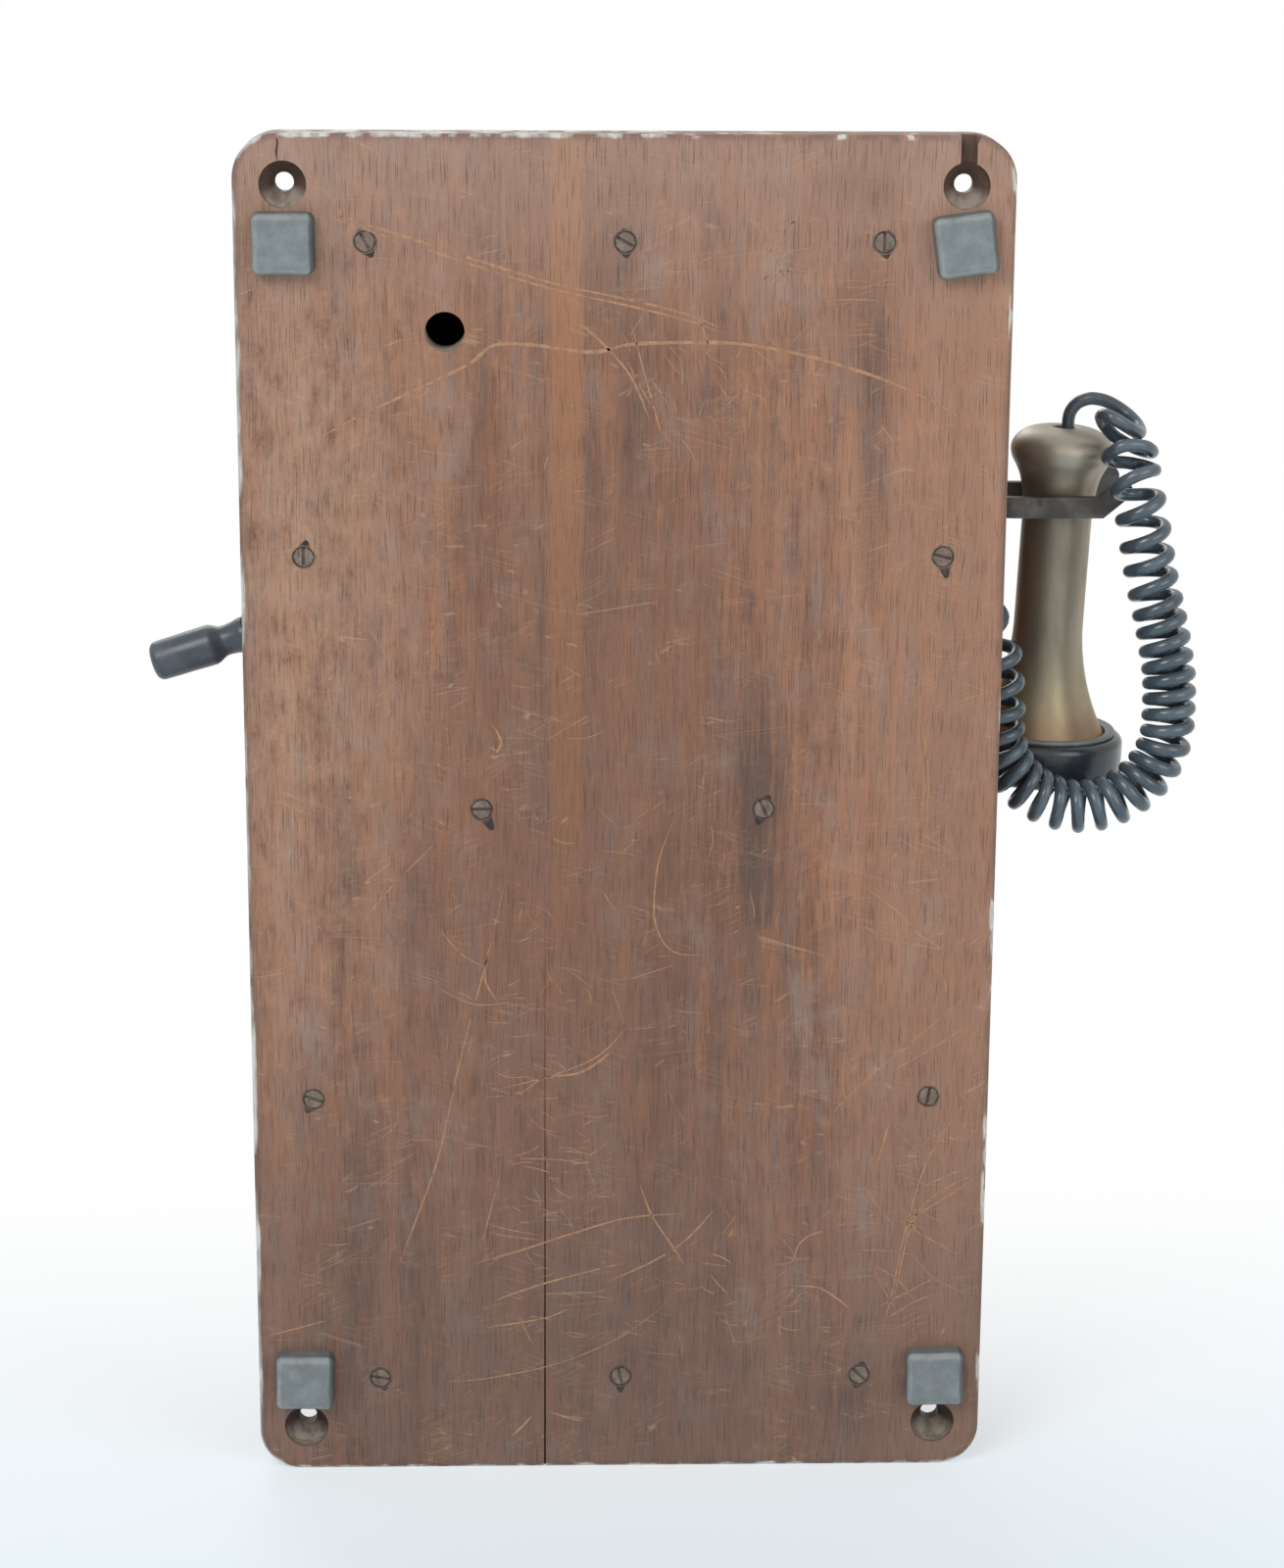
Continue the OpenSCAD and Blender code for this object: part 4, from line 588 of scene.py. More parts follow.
def metal(name, tones, rough, share=1.0, patch=14, brush=(0.7, 0.7, 0.7)):
    """Metal of three tones, base, worn and dark, with patches and brush marks of those sizes."""
    base, worn, dark = (rgb(*tone) for tone in tones)
    t = Tree(name)
    here = t.place()
    cloud = t.noise(here, (patch, patch, patch), 5, 0.62)
    grime_and_shade = t.noise(here, (patch * 0.6, patch * 0.6, patch * 1.4), 4, shift=(31, 7, 3))
    fine = t.noise(here, brush, 3)
    color = t.mix(t.band(cloud, 0.4, 0.66), base, worn)
    color = t.tint(color, grime_and_shade, 0.52, 0.72, 0.75, dark)
    color = t.tint(color, fine, 0.55, 0.75, 0.3, worn)
    clean = t.band(cloud, 0.3, 0.7, rough + 0.1, rough - 0.05)
    shine = t.plus(clean, t.band(fine, 0.3, 0.7, 0.0, 0.1))
    return t.surface(color, shine, t.bump(fine, 0.02), metal=share)


def plastic(name, base, haze, rough, grain=0.02, specular=0.5):
    """Moulded stuff or paint, with a hazy bloom and fine scratches."""
    t = Tree(name)
    here = t.place()
    bloom = t.noise(here, (11, 11, 11), 5, 0.6)
    fine = t.noise(here, (0.6, 0.6, 2.4), 3)
    color = t.mix(t.band(bloom, 0.4, 0.75), rgb(*base), rgb(*haze))
    shine = t.plus(t.band(bloom, 0.35, 0.75, rough, rough + 0.16), t.band(fine, 0.5, 0.8, 0.0, 0.12))
    return t.surface(color, shine, t.bump(fine, grain), specular=specular)


def pad_rubber(name):
    """Grey rubber, with a painted highlight on its rounded top edge and painted shade on its sides."""
    t = Tree(name)
    here = t.place()
    cloud = t.noise(here, (7, 7, 7), 5, 0.65)
    speck = t.noise(here, (0.9, 0.9, 0.9), 3)
    fine = t.noise(here, (0.45, 0.45, 2.2), 3)
    color = t.mix(t.band(cloud, 0.36, 0.7), rgb(116, 122, 123), rgb(132, 138, 138))
    color = t.tint(color, speck, 0.6, 0.72, 0.3, rgb(92, 98, 100))
    sideways, facing = t.facing()[:2]
    # Painted highlight where the top edge rounds over
    rim = t.product(t.band(facing, 0.985, 0.9), t.band(facing, 0.25, 0.6), t.band(cloud, 0.3, 0.55, 0.4, 1.0))
    color = t.mix(t.product(rim, 0.3), color, rgb(172, 177, 176))
    # Painted shade on the sides, darkest on the side that faces -X, away from the key lamp
    color = t.tint(color, facing, 0.35, 0.1, 0.5, rgb(70, 74, 75))
    color = t.tint(color, sideways, -0.2, -0.6, 0.75, rgb(62, 66, 67))
    height = t.plus(cloud, fine)
    return t.surface(color, t.band(fine, 0.3, 0.7, 0.5, 0.68), t.bump(height, 0.06), specular=0.4)


def receiver_bronze(name):
    """Dull bronze, yellower on the flare, redder at its foot and paler on the head."""
    t = Tree(name)
    here = t.place()
    patina = t.noise(here, (13, 13, 46), 5, 0.6)
    streak = t.noise(here, (2.2, 2.2, 30), 4)
    fine = t.noise(here, (0.8, 0.8, 0.35), 3)
    z = t.split(here)[2]
    color = t.mix(t.band(patina, 0.34, 0.7), rgb(163, 152, 133), rgb(141, 132, 118))
    color = t.tint(color, streak, 0.5, 0.75, 0.18, rgb(170, 158, 132))
    color = t.tint(color, z, 60, 22, 0.5, rgb(190, 172, 130))
    color = t.tint(color, z, 33, 21, 0.5, rgb(140, 100, 82))
    color = t.tint(color, z, 116, 134, 0.6, rgb(186, 180, 168))
    shine = t.plus(t.band(patina, 0.3, 0.7, 0.42, 0.52), t.band(fine, 0.4, 0.7, 0.0, 0.06))
    return t.surface(color, shine, t.bump(fine, 0.012), metal=0.75)


def cell_card(name):
    """Card jacket of the dry cells, with pitch on top."""
    pitch_z = -56
    t = Tree(name)
    here = t.place()
    z = t.split(here)[2]
    fibre = t.noise(here, (1.4, 1.4, 0.5), 4)
    cloud = t.noise(here, (22, 22, 30), 4)
    color = t.mix(t.band(cloud, 0.35, 0.7), rgb(186, 158, 118), rgb(156, 126, 88))
    color = t.tint(color, fibre, 0.5, 0.7, 0.4, rgb(132, 104, 72))
    pitch = t.band(z, pitch_z - 0.6, pitch_z)
    color = t.mix(pitch, color, rgb(46, 40, 38))
    return t.surface(color, t.band(fibre, 0.3, 0.7, 0.6, 0.8), t.bump(fibre, 0.05), specular=0.25)


def wound_thread(name, axis):
    """Thread wound in fine turns along an axis."""
    pitch = 0.7
    t = Tree(name)
    here = t.place()
    turn = t.calc("SINE", t.product(t.split(here)[axis], 2 * math.pi / pitch))
    cloud = t.noise(here, (8, 8, 8), 4)
    fuzz = t.noise(here, (0.3, 0.3, 0.3), 2)
    color = t.mix(t.band(cloud, 0.35, 0.7), rgb(116, 46, 36), rgb(84, 34, 28))
    # Painted shade in the grooves between the turns
    color = t.mix(t.band(turn, -1.0, 0.2, 0.6, 0.0), color, rgb(40, 16, 14))
    height = t.plus(turn, fuzz)
    return t.surface(color, t.band(fuzz, 0.3, 0.7, 0.6, 0.8), t.bump(height, 0.08), specular=0.3)


def plain_wood(name, light, dark):
    """Raw or dirty wood in a mark on the board."""
    t = Tree(name)
    here = t.place()
    cloud = t.noise(here, (3, 3, 3), 4, 0.65)
    fibre = t.noise(here, (0.5, 0.5, 6), 3)
    color = t.mix(t.band(cloud, 0.35, 0.68), rgb(*light), rgb(*dark))
    color = t.tint(color, fibre, 0.52, 0.7, 0.5, rgb(*dark))
    return t.surface(color, t.band(fibre, 0.3, 0.7, 0.55, 0.75), t.bump(fibre, 0.05), specular=0.2)


# Looks as a function, a name and that function's other values
IRON = ((86, 82, 79), (112, 107, 103), (60, 56, 54))
BRASS = ((168, 138, 84), (196, 168, 108), (110, 88, 58))
STEEL = ((128, 121, 114), (152, 146, 140), (88, 72, 62))
LOOKS = [
    (metal, "screw_steel", STEEL, 0.48, 0.7, 5),
    (pad_rubber, "pad_rubber"),
    (metal, "bush_brass", BRASS, 0.3),
    (metal, "dark_iron", IRON, 0.45, 0.6),
    (metal, "magnet_steel", ((48, 51, 55), (66, 69, 72), (38, 38, 40)), 0.3, 0.2, 20),
    (metal, "soft_iron", STEEL, 0.4, 1.0, 14, (0.6, 6, 6)),
    (cell_card, "cell_card"),
    (metal, "condenser_tin", ((120, 127, 132), (150, 155, 158), (86, 84, 82)), 0.4),
    (plastic, "black_ebonite", (38, 42, 46), (58, 64, 70), 0.14, 0.008, 0.6),
    (plastic, "knob_ebonite", (70, 77, 85), (94, 101, 108), 0.3),
    (metal, "gong_nickel", ((190, 185, 176), (210, 206, 198), (140, 130, 116)), 0.16),
    (plastic, "black_paint", (30, 31, 33), (44, 45, 47), 0.2),
    (receiver_bronze, "receiver_bronze"),
    (metal, "tinned_plate", ((170, 172, 174), (190, 192, 194), (120, 118, 116)), 0.3),
    (cord_vinyl, "cord_vinyl"),
    (plain_wood, "scratch_wood", (180, 137, 106), (150, 112, 90)),
    (plain_wood, "filler", (78, 70, 66), (52, 45, 42)),
    (plain_wood, "crack", (44, 34, 30), (30, 24, 22)),
    (plastic, "grey_ring", (118, 124, 122), (148, 150, 144), 0.5),
    (case_wood, "case_wood_x", 0),
    (case_wood, "case_wood_z", 2),
    (board_wood, "board_wood_wide", (3.1, 0, 1.7)),
    (board_wood, "board_wood_narrow", (40.3, 5, 8.2)),
    (metal, "screw_tarnished", ((114, 97, 86), (134, 117, 104), (80, 67, 60)), 0.6, 0.1, 4),
    (wound_thread, "coil_thread_x", 0),
    (wound_thread, "coil_thread_z", 2),
]


# CAD nodes by their material
NODE_LOOKS = {
    "board_wood_wide": ["backboard_wide_plank"],
    "board_wood_narrow": ["backboard_narrow_plank"],
    "case_wood_x": ["case_top", "case_bottom", "generator_shelf", "writing_shelf"],
    "case_wood_z": ["case_left_side", "case_right_side", "door_panel", "shelf_brackets"],
    "screw_tarnished": ["back_screws"],
    "screw_steel": ["hook_pivot_pin", "hinge_pins", "crank_shaft", "knob_spindle", "transmitter_pin"],
    "pad_rubber": ["rubber_pads"],
    "bush_brass": [
        "crank_bearing_bush", "hook_bracket", "generator_end_plates", "drive_gear", "armature_pinion",
        "hinge_leaves_case", "hinge_leaves_door", "latch_strike", "latch_knob", "latch_tongue",
        "binding_posts", "dry_cell_terminals", "hook_return_spring", "switch_springs",
    ],
    "dark_iron": [
        "switch_hook", "hook_slot_plate", "crank_arm", "transmitter_bracket", "ringer_frame",
        "generator_base",
    ],
    "magnet_steel": ["generator_magnets", "ringer_magnet"],
    "soft_iron": ["pole_pieces", "armature", "ringer_armature"],
    "coil_thread_x": ["induction_coil"],
    "coil_thread_z": ["ringer_coils"],
    "cell_card": ["dry_cells"],
    "condenser_tin": ["condenser"],
    "black_ebonite": ["terminal_strip", "cord_bushing", "crank_knob", "ear_cap", "mouthpiece"],
    "gong_nickel": ["left_gong", "right_gong", "gong_posts", "clapper", "transmitter_faceplate"],
    "black_paint": ["transmitter_cup"],
    "receiver_bronze": ["receiver_shell"],
    "tinned_plate": ["receiver_diaphragm"],
    "cord_vinyl": ["receiver_cord"],
}


def paint_nodes(materials):
    """Gives every CAD node its material."""
    for look, names in NODE_LOOKS.items():
        for node in (NODES[name] for name in names):
            for slot in node.material_slots:
                slot.material = materials[look]
            if not node.material_slots:
                node.data.materials.append(materials[look])


# Receiver and crank knob, turned smoothly
def sag(radius, rise):
    """How far an arc of that radius falls away at that rise."""
    return radius - math.sqrt(radius ** 2 - rise ** 2)


def shell_profile():
    """The shell from its rolled foot up the flare, the neck and the waist to the head and the cord's hole."""
    neck_r = 13.5
    flare_top = -48
    flare_rise = 47
    flare_out = 13.2
    flare_arc = (flare_rise ** 2 + flare_out ** 2) / (2 * flare_out)
    shoulder_r = 19.9
    shoulder_z = 19.6
    dome_r = 7.6
    head_top = 28.6
    hole_r = 4.25
    hole_floor = 20.6
    steps = 24
    waist_steps = 5
    profile = [(25, -97), (27.2, -97), (27.5, -96.7), (27.5, -95.4), (27.2, -95)]
    falls = [flare_rise * i / steps for i in range(steps, -1, -1)]
    profile += [(neck_r + sag(flare_arc, fall), flare_top - fall) for fall in falls]
    profile += [(neck_r, -34), (neck_r, -21)]
    waist = [(neck_r, -8), (13.8, -1), (14.6, 5), (15.8, 9.6), (17.4, 13), (19.1, 16), (19.8, 18.4)]
    waist_line = smooth_line([Vector((r, 0, z)) for r, z in waist], waist_steps)
    profile += [(point.x, point.z) for point in waist_line]
    dome = [math.radians(90 * i / steps) for i in range(steps + 1)]
    profile += [
        (dome_r + (shoulder_r - dome_r) * math.cos(a), shoulder_z + (head_top - shoulder_z) * math.sin(a))
        for a in dome
    ]
    profile += [(4.9, head_top), (4.45, 28.4), (hole_r, 27.9), (hole_r, hole_floor), (0, hole_floor)]
    return profile


def cap_profile():
    """The ear cap from its seat on the shell round its rim and over the dished face to the hole."""
    seat_r = 27.65
    seat_z = -97.5
    face_r = 26
    face_z = -110
    dish_depth = 7.5
    hole_r = 6.5
    steps = 16
    profile = [(seat_r, -97.4), (seat_r, -92.3), (28, -92)]
    profile += arc((29.2, -95.5), 3.5, 90, 0, 12)
    profile += arc((27.7, -105), 5, 0, -90, 14)
    for i in range(steps + 1):
        u = i / steps
        profile.append((face_r - (face_r - hole_r) * u, face_z + dish_depth * math.sin(math.pi / 2 * u)))
    profile += [(hole_r, seat_z), (seat_r, seat_z)]
    return profile


def make_receiver(materials):
    """The receiver's shell and ear cap, and the pale washer on the cap's rim."""
    place = Matrix.Translation(HOOK_POINT) @ Matrix.Rotation(math.radians(RECEIVER_LEAN), 4, "Y")
    shell = lathe("receiver_shell_turned", shell_profile(), place, materials["receiver_bronze"], "receiver")
    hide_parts("receiver_shell")
    ear = lathe("ear_cap_turned", cap_profile(), place, materials["black_ebonite"], "receiver")
    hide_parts("ear_cap")
    ring = [(27, -93.5), (29, -92.1), (29.5, -91.2), (29, -90.4), (27.4, -90.2), (25.6, -91), (25.7, -92.4)]
    washer = lathe("cap_washer", ring, place, materials["grey_ring"], "receiver")


def make_crank_knob(materials):
    """The crank's knob: a foot, a waist, a barrel and a round nose."""
    turn = Matrix.Rotation(math.radians(90 + KNOB_CANT), 4, "Y")
    place = Matrix.Translation(KNOB_POINT) @ turn @ Matrix.Translation((0, 0, KNOB_BASE))
    length = 38
    barrel_r = 8
    foot_r = 7
    waist_r = 5.9
    foot = 1.5
    waist = 8.5
    shoulder = 14.6
    nose = 2.9
    bore_r = 2.6
    profile = [(bore_r, 0), (foot_r - 0.3, 0), (foot_r, 0.3), (foot_r, 1.3)]
    steps = 14
    shares = [i / steps for i in range(1, steps + 1)]
    profile += [(waist_r + (foot_r - waist_r) * (1 - t) ** 2, foot + (waist - foot) * t) for t in shares]
    for t in shares:
        swell = (1 - math.cos(math.pi * t)) / 2
        profile.append((waist_r + (barrel_r - waist_r) * swell, waist + (shoulder - waist) * t))
    profile += arc((barrel_r - 0.3 - nose, length - nose), nose, 0, 90, 12)
    profile += [(0, length)]
    knob = lathe("crank_knob_turned", profile, place, materials["knob_ebonite"], "crank_knob", 64)
    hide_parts("crank_knob")


def make_pads(materials):
    """Rubber pads, cut by hand: sides that pull in, a soft top edge and a slightly hollow, wavy face."""
    width = 22.5
    height = 8
    edge = 3.2
    cuts = 30
    side_pull = 0.05
    taper = 0.012
    hollow_depth = 0.45
    wave_depth = 0.25
    wave_middle = 0.4
    waves_per_mm = 0.16
    places = [(122, 219, 0), (-122, 219, 8), (122, -219, -1), (-122, -219, 1)]
    for number, (px, pz, turn) in enumerate(places, 1):
        bm = bmesh.new()
        bmesh.ops.create_cube(bm, size=2)
        bmesh.ops.subdivide_edges(bm, edges=bm.edges, cuts=cuts, use_grid_fill=True)
        place = Matrix.Translation((px, 0, pz)) @ Matrix.Rotation(math.radians(turn), 4, "Y")
        half = Vector((width / 2, height, width / 2))
        for vert in bm.verts:
            u, w, v = vert.co
            spot = Vector((u * half.x, (w + 1) / 2 * height, v * half.z))
            core = Vector((
                min(max(spot.x, edge - half.x), half.x - edge),
                min(spot.y, height - edge),
                min(max(spot.z, edge - half.z), half.z - edge),
            ))
            out = spot - core
            if out.length > 1e-6:
                spot = core + out.normalized() * min(edge, out.length)
            lift = spot.y / height
            pull = side_pull * lift
            spot.x *= 1 - pull * (1 - v * v) - taper * lift
            spot.z *= 1 - pull * (1 - u * u) - taper * lift
            hollow = max(0.0, 1 - max(abs(u), abs(v)) ** 4)
            wave = noise.noise(Vector((spot.x * waves_per_mm, spot.z * waves_per_mm, number * 5.3)))
            if w > 0.5:
                spot.y -= hollow_depth * hollow + wave_depth * (wave + wave_middle)
            vert.co = place @ spot
        pad = add_piece(f"soft_pad_{number}", bm, materials["pad_rubber"], "case", sharp=80)
        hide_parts("rubber_pads")


# Scratches on the board's back, traced from the photograph: the width, then X and Z of each point
SCRATCHES = [
    (1.1, 109.7, 232.4, 100.4, 228.2, 74.5, 219.9, 46.7, 210.9, 24.1, 204.3, -2.1, 198.7, -23.2, 193.4,
     -39, 186.4),
    (0.9, 110.5, 230.6, 100.2, 226.2, 74.5, 217.9, 46.7, 208.7, 24.1, 202.2, -2.1, 196.5, -23.2, 191.2,
     -36, 186.6),
    (1.6, 123.6, 140.9, 102.1, 153.4, 82.5, 163, 64.8, 171.2, 54.8, 176.5, 47, 182.5, 33, 182.5,
     11.9, 180, -2.1, 182.8, -23.2, 183.5, -44.3, 182.8, -68.9, 177.9, -93.7, 170.1, -115, 160.5,
     -129.4, 149.8),
    (1.0, 115.6, 247.9, 105.5, 235.8, 97.1, 222),
    (0.9, 17.1, 190.6, 8.4, 183.5, -2.1, 171.2, -9.2, 155.2),
    (0.8, -2.1, 190.6, -7.4, 171.2, -10.9, 158.7, -13.4, 149.8),
    (0.7, -19, 4.5, -13.6, -10.7, -11.8, -29.8, -14.7, -41.4, -21, -47.2, -32, -48),
    (0.7, -134.6, -60.8, -112.9, -80.3, -91, -99.9, -80, -111.8),
    (0.7, -136.8, -72.5, -116.7, -86.2, -100.2, -96),
    (0.8, -136.5, -135.7, -114.4, -151.8, -105.7, -188.3),
    (0.6, 69.2, -3.1, 85.9, -20.3, 97.1, -33.7),
    (0.6, 136.5, -24.1, 111.9, -37.5),
    (0.7, 50.2, -101.9, 27.9, -96, 9.3, -88.1, -1.9, -76.4),
    (0.9, 56.7, -172, 39.7, -167.1, 20.8, -160.6, -1.8, -153.8, -24.3, -151.8),
    (0.8, 51.2, -188.3, 28.4, -180.1, -1.7, -172),
    (0.9, 48.6, 42.1, 45.1, 34.6, 48.8, 29, 43.3, 30.9),
    (0.6, -88.6, 158.7, -101.3, 140.9, -109, 108.4),
    (0.6, -36.9, 239.3, -49.2, 222, -58.1, 204.6),
    (0.6, -106.5, 57, -112.3, 34.6, -114.7, 8.3),
    (0.7, 44.1, -19, 50.6, -47.8, 61.1, -88.6, 69.8, -128.1, 79.4, -156, 86.2, -174.2),
    (0.9, 50.6, -45.8, 51.6, -57.4, 47.6, -65.2),
    (0.6, 70.1, -60.3, 55.4, -67.1, 41.5, -66.2),
    (0.6, 68, -38.1, 60.8, -46.8, 51.6, -52.6),
    (0.9, 51.9, -104.4, 38.8, -102.5, 29.5, -96.6, 16.5, -94.7, 7.2, -88.9, 1.6, -83),
    (0.8, 5.1, -179.8, -11.9, -171.8, -25.1, -162.7, -36.3, -149.7),
    (0.5, 70, -221, 54.4, -220.3, 29.7, -215.4, 12.6, -209.3, -2.6, -201.2, -17.7, -189.1),
    (0.7, 52.4, -198.8, 29.6, -194.9, 20.2, -190.9),
    (0.8, -7, -139.5, -11.8, -152.6, -19.4, -164.7, -24.2, -172.8),
    (0.8, -83.6, -159, -74.2, -160.6, -68.6, -165, -65.9, -172.1, -59.2, -173.1),
    (1, -67, -182.3, -76.5, -182.9, -85.1, -188.5, -89, -192.6),
    (0.7, -136.7, -99.4, -122.3, -121.1, -115.2, -137.1, -109.2, -161.2, -105, -185.6, -101.6, -201.9),
    (0.8, -114.4, -142.1, -124.6, -137.2, -134, -133.2),
    (0.7, -110, -155.2, -123, -147.2, -136, -138.2),
    (0.7, -107.2, -155.2, -119.7, -163.3, -132.2, -170.5),
    (0.6, -100.4, -190.7, -112.6, -184, -124.8, -177.2),
    (0.6, -103.4, -195.8, -112.7, -189.7, -121.2, -185.7),
    (0.9, 135.6, -201.3, 124.3, -198.3, 113.8, -195.3),
    (1.2, 42.1, -244.2, 37.7, -239.7, 34.5, -236),
    (0.8, 27.8, -234, 21.1, -236.5, 14.4, -238.2),
    (0.8, -96.4, -137, -99.9, -125, -102.4, -115.1),
    (0.5, 51.2, -159.2, 40.9, -161.3, 31.5, -162.4),
    (0.5, 50.3, -156.2, 40.9, -158.7, 31.5, -160.4),
    (0.5, 41.7, -128.2, 35.2, -126.3, 30.5, -123.3),
    (0.5, 39.9, -129.2, 25.8, -129.5, 12.7, -131.4),
    (0.7, -88.2, -19.4, -103.3, -30.9, -112.7, -40.6, -124.1, -47.4),
    (0.5, -92.4, -40.5, -107.3, -43.5, -124, -46.5),
    (0.5, -112.9, -46.4, -121.6, -58.1, -122.6, -64),
    (0.6, 54.1, -166.3, 50.3, -151.2, 46.4, -136.2),
]


# Random marks as (centre, spread, tilt in degrees, number, length), and the limits of their middles and ends
CLUSTERS = [
    ((28, -115), (22, 85), 15, 60, 8), ((-112, -150), (22, 55), 40, 30, 16),
    ((-30, 165), (32, 20), 60, 26, 8), ((-60, 205), (60, 36), -40, 22, 16), ((0, 0), (130, 240), 70, 60, 9),
    ((-40, -190), (60, 30), 20, 24, 10), ((100, 160), (34, 60), 20, 22, 14),
]
MARK_MIDDLE = (134, 250)
MARK_END = (136, 252)


def ribbon(bm, points, width, dice, gap_level=0.42):
    """A tapered, broken mark on the board's back through points in X and Z."""
    proud = 0.03
    step = 1.2
    flat = [Vector((x, proud, z)) for x, z in points]
    length = sum((b - a).length for a, b in zip(flat, flat[1:]))
    line = smooth_line(flat, max(2, round(length / (len(flat) - 1) / step)))
    last = len(line) - 1
    previous = None
    seed = 100 * dice.random()
    for i, point in enumerate(line):
        way = (line[min(i + 1, last)] - line[max(i - 1, 0)]).normalized()
        side = way.cross(Vector((0, 1, 0)))
        taper = min(1.0, 4 * min(i, last - i) / last + 0.12)
        slow = noise.noise(Vector((i * 0.11, seed, 0)))
        half = width / 2 * taper * (0.72 + 0.4 * slow + 0.12 * dice.random())
        pair = [bm.verts.new(point + side * half), bm.verts.new(point - side * half)]
        if previous and noise.noise(Vector((i * 0.17, seed, 7))) < gap_level:
            bm.faces.new([previous[0], previous[1], pair[1], pair[0]])
        previous = pair


def over_hole(x, z, reach):
    """Whether a mark of that half length would cross a hole, a screw or a pad."""
    cable_r = 10
    screw_r = 6
    pad_x = 100
    pad_z = 200
    if abs(x) + reach > pad_x and abs(z) + reach > pad_z:
        return True
    holes = [(CABLE_HOLE, cable_r)] + [(screw, screw_r) for screw in SCREWS]
    return any(math.hypot(x - hx, z - hz) < radius + reach for (hx, hz), radius in holes)


def make_scratches(materials, dice):
    """The traced scratches and the random marks between them."""
    tilt_spread = 28
    lengths = (0.4, 1.8)
    widths = (0.22, 0.5)
    bm = bmesh.new()
    for width, *flat in SCRATCHES:
        ribbon(bm, list(zip(flat[::2], flat[1::2])), width, dice)
    for centre, spread, tilt, count, size in CLUSTERS:
        for _ in range(count):
            x = max(-MARK_MIDDLE[0], min(MARK_MIDDLE[0], dice.gauss(centre[0], spread[0] / 2)))
            z = max(-MARK_MIDDLE[1], min(MARK_MIDDLE[1], dice.gauss(centre[1], spread[1] / 2)))
            a = math.radians(dice.gauss(tilt, tilt_spread))
            long = size * dice.uniform(*lengths)
            bow = dice.uniform(-0.12, 0.12) * long
            dx = long / 2 * math.cos(a)
            dz = long / 2 * math.sin(a)
            middle = (x - bow * math.sin(a), z + bow * math.cos(a))
            off_board = abs(x) + abs(dx) >= MARK_END[0] or abs(z) + abs(dz) >= MARK_END[1]
            if off_board or over_hole(x, z, long / 2):
                continue
            ribbon(bm, [(x - dx, z - dz), middle, (x + dx, z + dz)], dice.uniform(*widths), dice)
    bmesh.ops.delete(bm, geom=[v for v in bm.verts if not v.link_faces], context="VERTS")
    marks = add_piece("board_scratches", bm, materials["scratch_wood"], "case")


def make_crack(materials, dice):
    """A crack at the board's top edge, and the dirt in the joint of the planks."""
    half = 0.9
    low = -257
    high = 38
    depth = -1.4
    bm = bmesh.new()
    ribbon(bm, [(123.6, 247.6), (123.9, 251), (123.4, 254), (123.8, 256.2)], 0.7, dice, gap_level=1)
    corners = [(JOINT_X - half, low), (JOINT_X + half, low), (JOINT_X + half, high), (JOINT_X - half, high)]
    bm.faces.new([bm.verts.new((x, depth, z)) for x, z in corners])
    crack = add_piece("board_crack", bm, materials["crack"], "case")


def make_marks(materials):
    """The marks on the board's back, by one row of random draws."""
    dice = random.Random(7)
    make_scratches(materials, dice)
    make_crack(materials, dice)


def make_filler(materials):
    """Torn, dirty wood round each screw, with tails along the grain."""
    dice = random.Random(11)
    inner_r = 3.5
    lip_r = 4.12
    outer_r = 4.25
    flat_r = 4.4
    heights = (-0.24, -0.14, 0.03, 0.02)
    tail_power = 26
    steps = 64
    bm = bmesh.new()
    for x, z in SCREWS:
        up = max(0, dice.uniform(-2, 3))
        down = max(0, dice.uniform(-2, 5))
        lean = dice.uniform(-0.5, 0.5)
        seed = Vector((x, z, 3.7))
        rings = ([], [], [], [])
        for i in range(steps):
            a = 2 * math.pi * i / steps
            rough = 0.9 * noise.noise(seed + Vector((2 * math.cos(a), 2 * math.sin(a), 0)))
            fine = 0.5 * noise.noise(seed + Vector((7 * math.cos(a), 7 * math.sin(a), 9)))
            rise = math.sin(a + lean)
            tail = up * max(0, rise) ** tail_power + down * max(0, -rise) ** tail_power
            outer = outer_r + 0.3 * (rough + 0.6) + 0.5 * fine + tail
            radii = (inner_r + 0.3 * rough, lip_r, min(outer, flat_r), outer)
            for ring, radius, proud in zip(rings, radii, heights):
                ring.append(bm.verts.new((x + radius * math.cos(a), proud, z + radius * math.sin(a))))
        bridge(bm, rings)
    patches = add_piece("screw_surrounds", bm, materials["filler"], "case", sharp=80)


# Slotted screws in the hinge leaves
def slotted_head(bm, place):
    """Two halves of a low round head with a slot between them. The shape is shares of (radius, height)."""
    radius = 2.7
    height = 0.8
    slot = 0.7
    steps = 14
    shape = [(1.0, 0.0), (0.93, 0.55), (0.62, 1.0)]
    for turn in (0, math.pi):
        rings = []
        for share, rise in shape:
            r = radius * share
            end = math.acos(slot / 2 / r)
            angles = [end * (2 * i / steps - 1) + turn for i in range(steps + 1)]
            points = [Vector((r * math.cos(a), r * math.sin(a), height * rise)) for a in angles]
            rings.append([bm.verts.new(place @ point) for point in points])
        for low, high in zip(rings, rings[1:]):
            for i in range(steps):
                bm.faces.new([low[i], low[i + 1], high[i + 1], high[i]])
        bm.faces.new(rings[-1])
        bm.faces.new([ring[0] for ring in rings] + [ring[-1] for ring in reversed(rings)])
    bmesh.ops.recalc_face_normals(bm, faces=bm.faces)


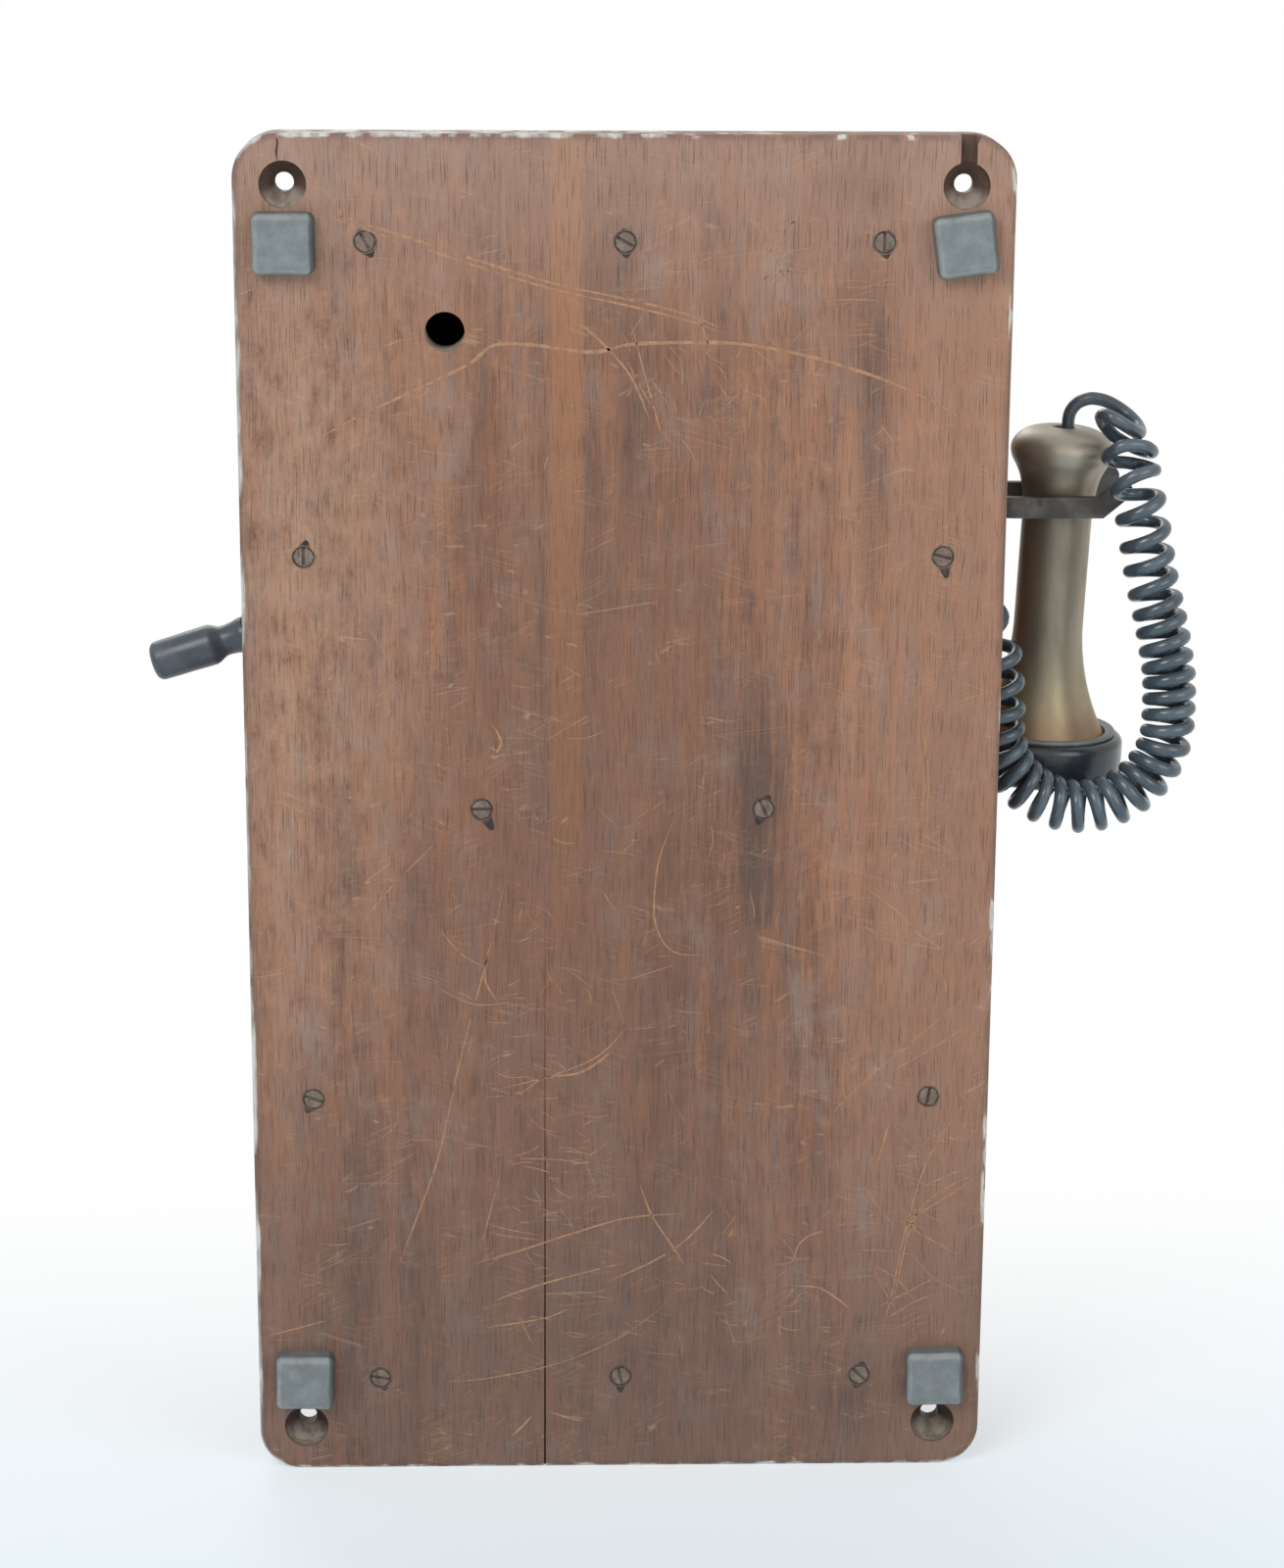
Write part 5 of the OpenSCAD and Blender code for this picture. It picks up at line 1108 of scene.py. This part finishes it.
def make_hinge_screws(materials):
    """Three screws in each leaf of the two hinges, on the case and on the door."""
    dice = random.Random(5)
    leaf_face_x = -125.5
    hinge_z = 150
    pitch = 17
    out = Matrix.Rotation(math.radians(-90), 4, "Y")
    for body, y in (("case", -111), ("door", -134.5)):
        bm = bmesh.new()
        for hinge in (-hinge_z, hinge_z):
            for step in (-pitch, 0, pitch):
                spot = Matrix.Translation((leaf_face_x, y, hinge + step))
                slotted_head(bm, spot @ out @ Matrix.Rotation(dice.uniform(0, math.pi), 4, "Z"))
        heads = add_piece(f"hinge_screws_{body}", bm, materials["bush_brass"], body, sharp=40)


# Stage and lights
def make_stage():
    """A pale floor that looks white, most of all behind the part, and keeps the part's shadow."""
    half_size = 14
    cells = 8
    near_y = 250
    far_y = -350
    near_white = 0.2
    bm = bmesh.new()
    bmesh.ops.create_grid(bm, x_segments=cells, y_segments=cells, size=half_size)
    bmesh.ops.translate(bm, vec=(0, 0, FLOOR_Z * MM), verts=bm.verts)
    mesh = bpy.data.meshes.new("floor")
    bm.to_mesh(mesh)
    bm.free()
    floor = show("floor", mesh)
    t = Tree("floor_pale")
    here = t.place()
    y = t.split(here)[1]
    cloud = t.noise(here, (400, 400, 400), 2)
    color = t.mix(t.band(cloud, 0.3, 0.7), rgb(234, 248, 255), rgb(228, 245, 255))
    diffuse = t.add("BsdfDiffuse", {"Color": color}).outputs[0]
    white = t.add("Emission", {"Color": (1, 1, 1, 1), "Strength": 1}).outputs[0]
    far = t.product(t.band(y, near_y, far_y, near_white, 1.0), t.seen())
    shader = t.add("MixShader", {0: far, 1: diffuse, 2: white}).outputs[0]
    t.add("OutputMaterial", {"Surface": shader})
    mesh.materials.append(t.block)


def make_world():
    """Even light from all sides, which looks white where it is seen."""
    strength = 0.62
    t = Tree("studio", "worlds")
    level = t.add("MapRange", {"Value": t.seen(), "To Min": strength, "To Max": 1.0}).outputs[0]
    light = t.add("Background", {"Strength": level}).outputs[0]
    t.add("OutputWorld", {"Surface": light})
    bpy.context.scene.world = t.block


def make_lights():
    """Square lamps as (name, place, size, power) that look at the part's middle."""
    make_world()
    lamps = [
        ("key", (0.9, 1.5, 1.5), 1.0, 22),
        ("fill", (-1.3, 1.2, 0.8), 1.2, 9),
        ("front", (0.5, -1.9, 1.3), 1.2, 12),
    ]
    for name, place, size, power in lamps:
        lamp = bpy.data.lights.new(name, "AREA")
        lamp.shape = "SQUARE"
        lamp.size = size
        lamp.energy = power
        holder = show(name, lamp)
        turn = (-Vector(place)).to_track_quat("-Z", "Y")
        holder.matrix_world = Matrix.Translation(place) @ turn.to_matrix().to_4x4()
    bpy.context.scene.view_settings.view_transform = "Standard"


make_camera()
looks = {name: make(name, *values) for make, name, *values in LOOKS}
make_cord(looks["cord_vinyl"])
paint_nodes(looks)
make_receiver(looks)
make_crank_knob(looks)
make_pads(looks)
make_marks(looks)
make_filler(looks)
make_hinge_screws(looks)
make_stage()
make_lights()
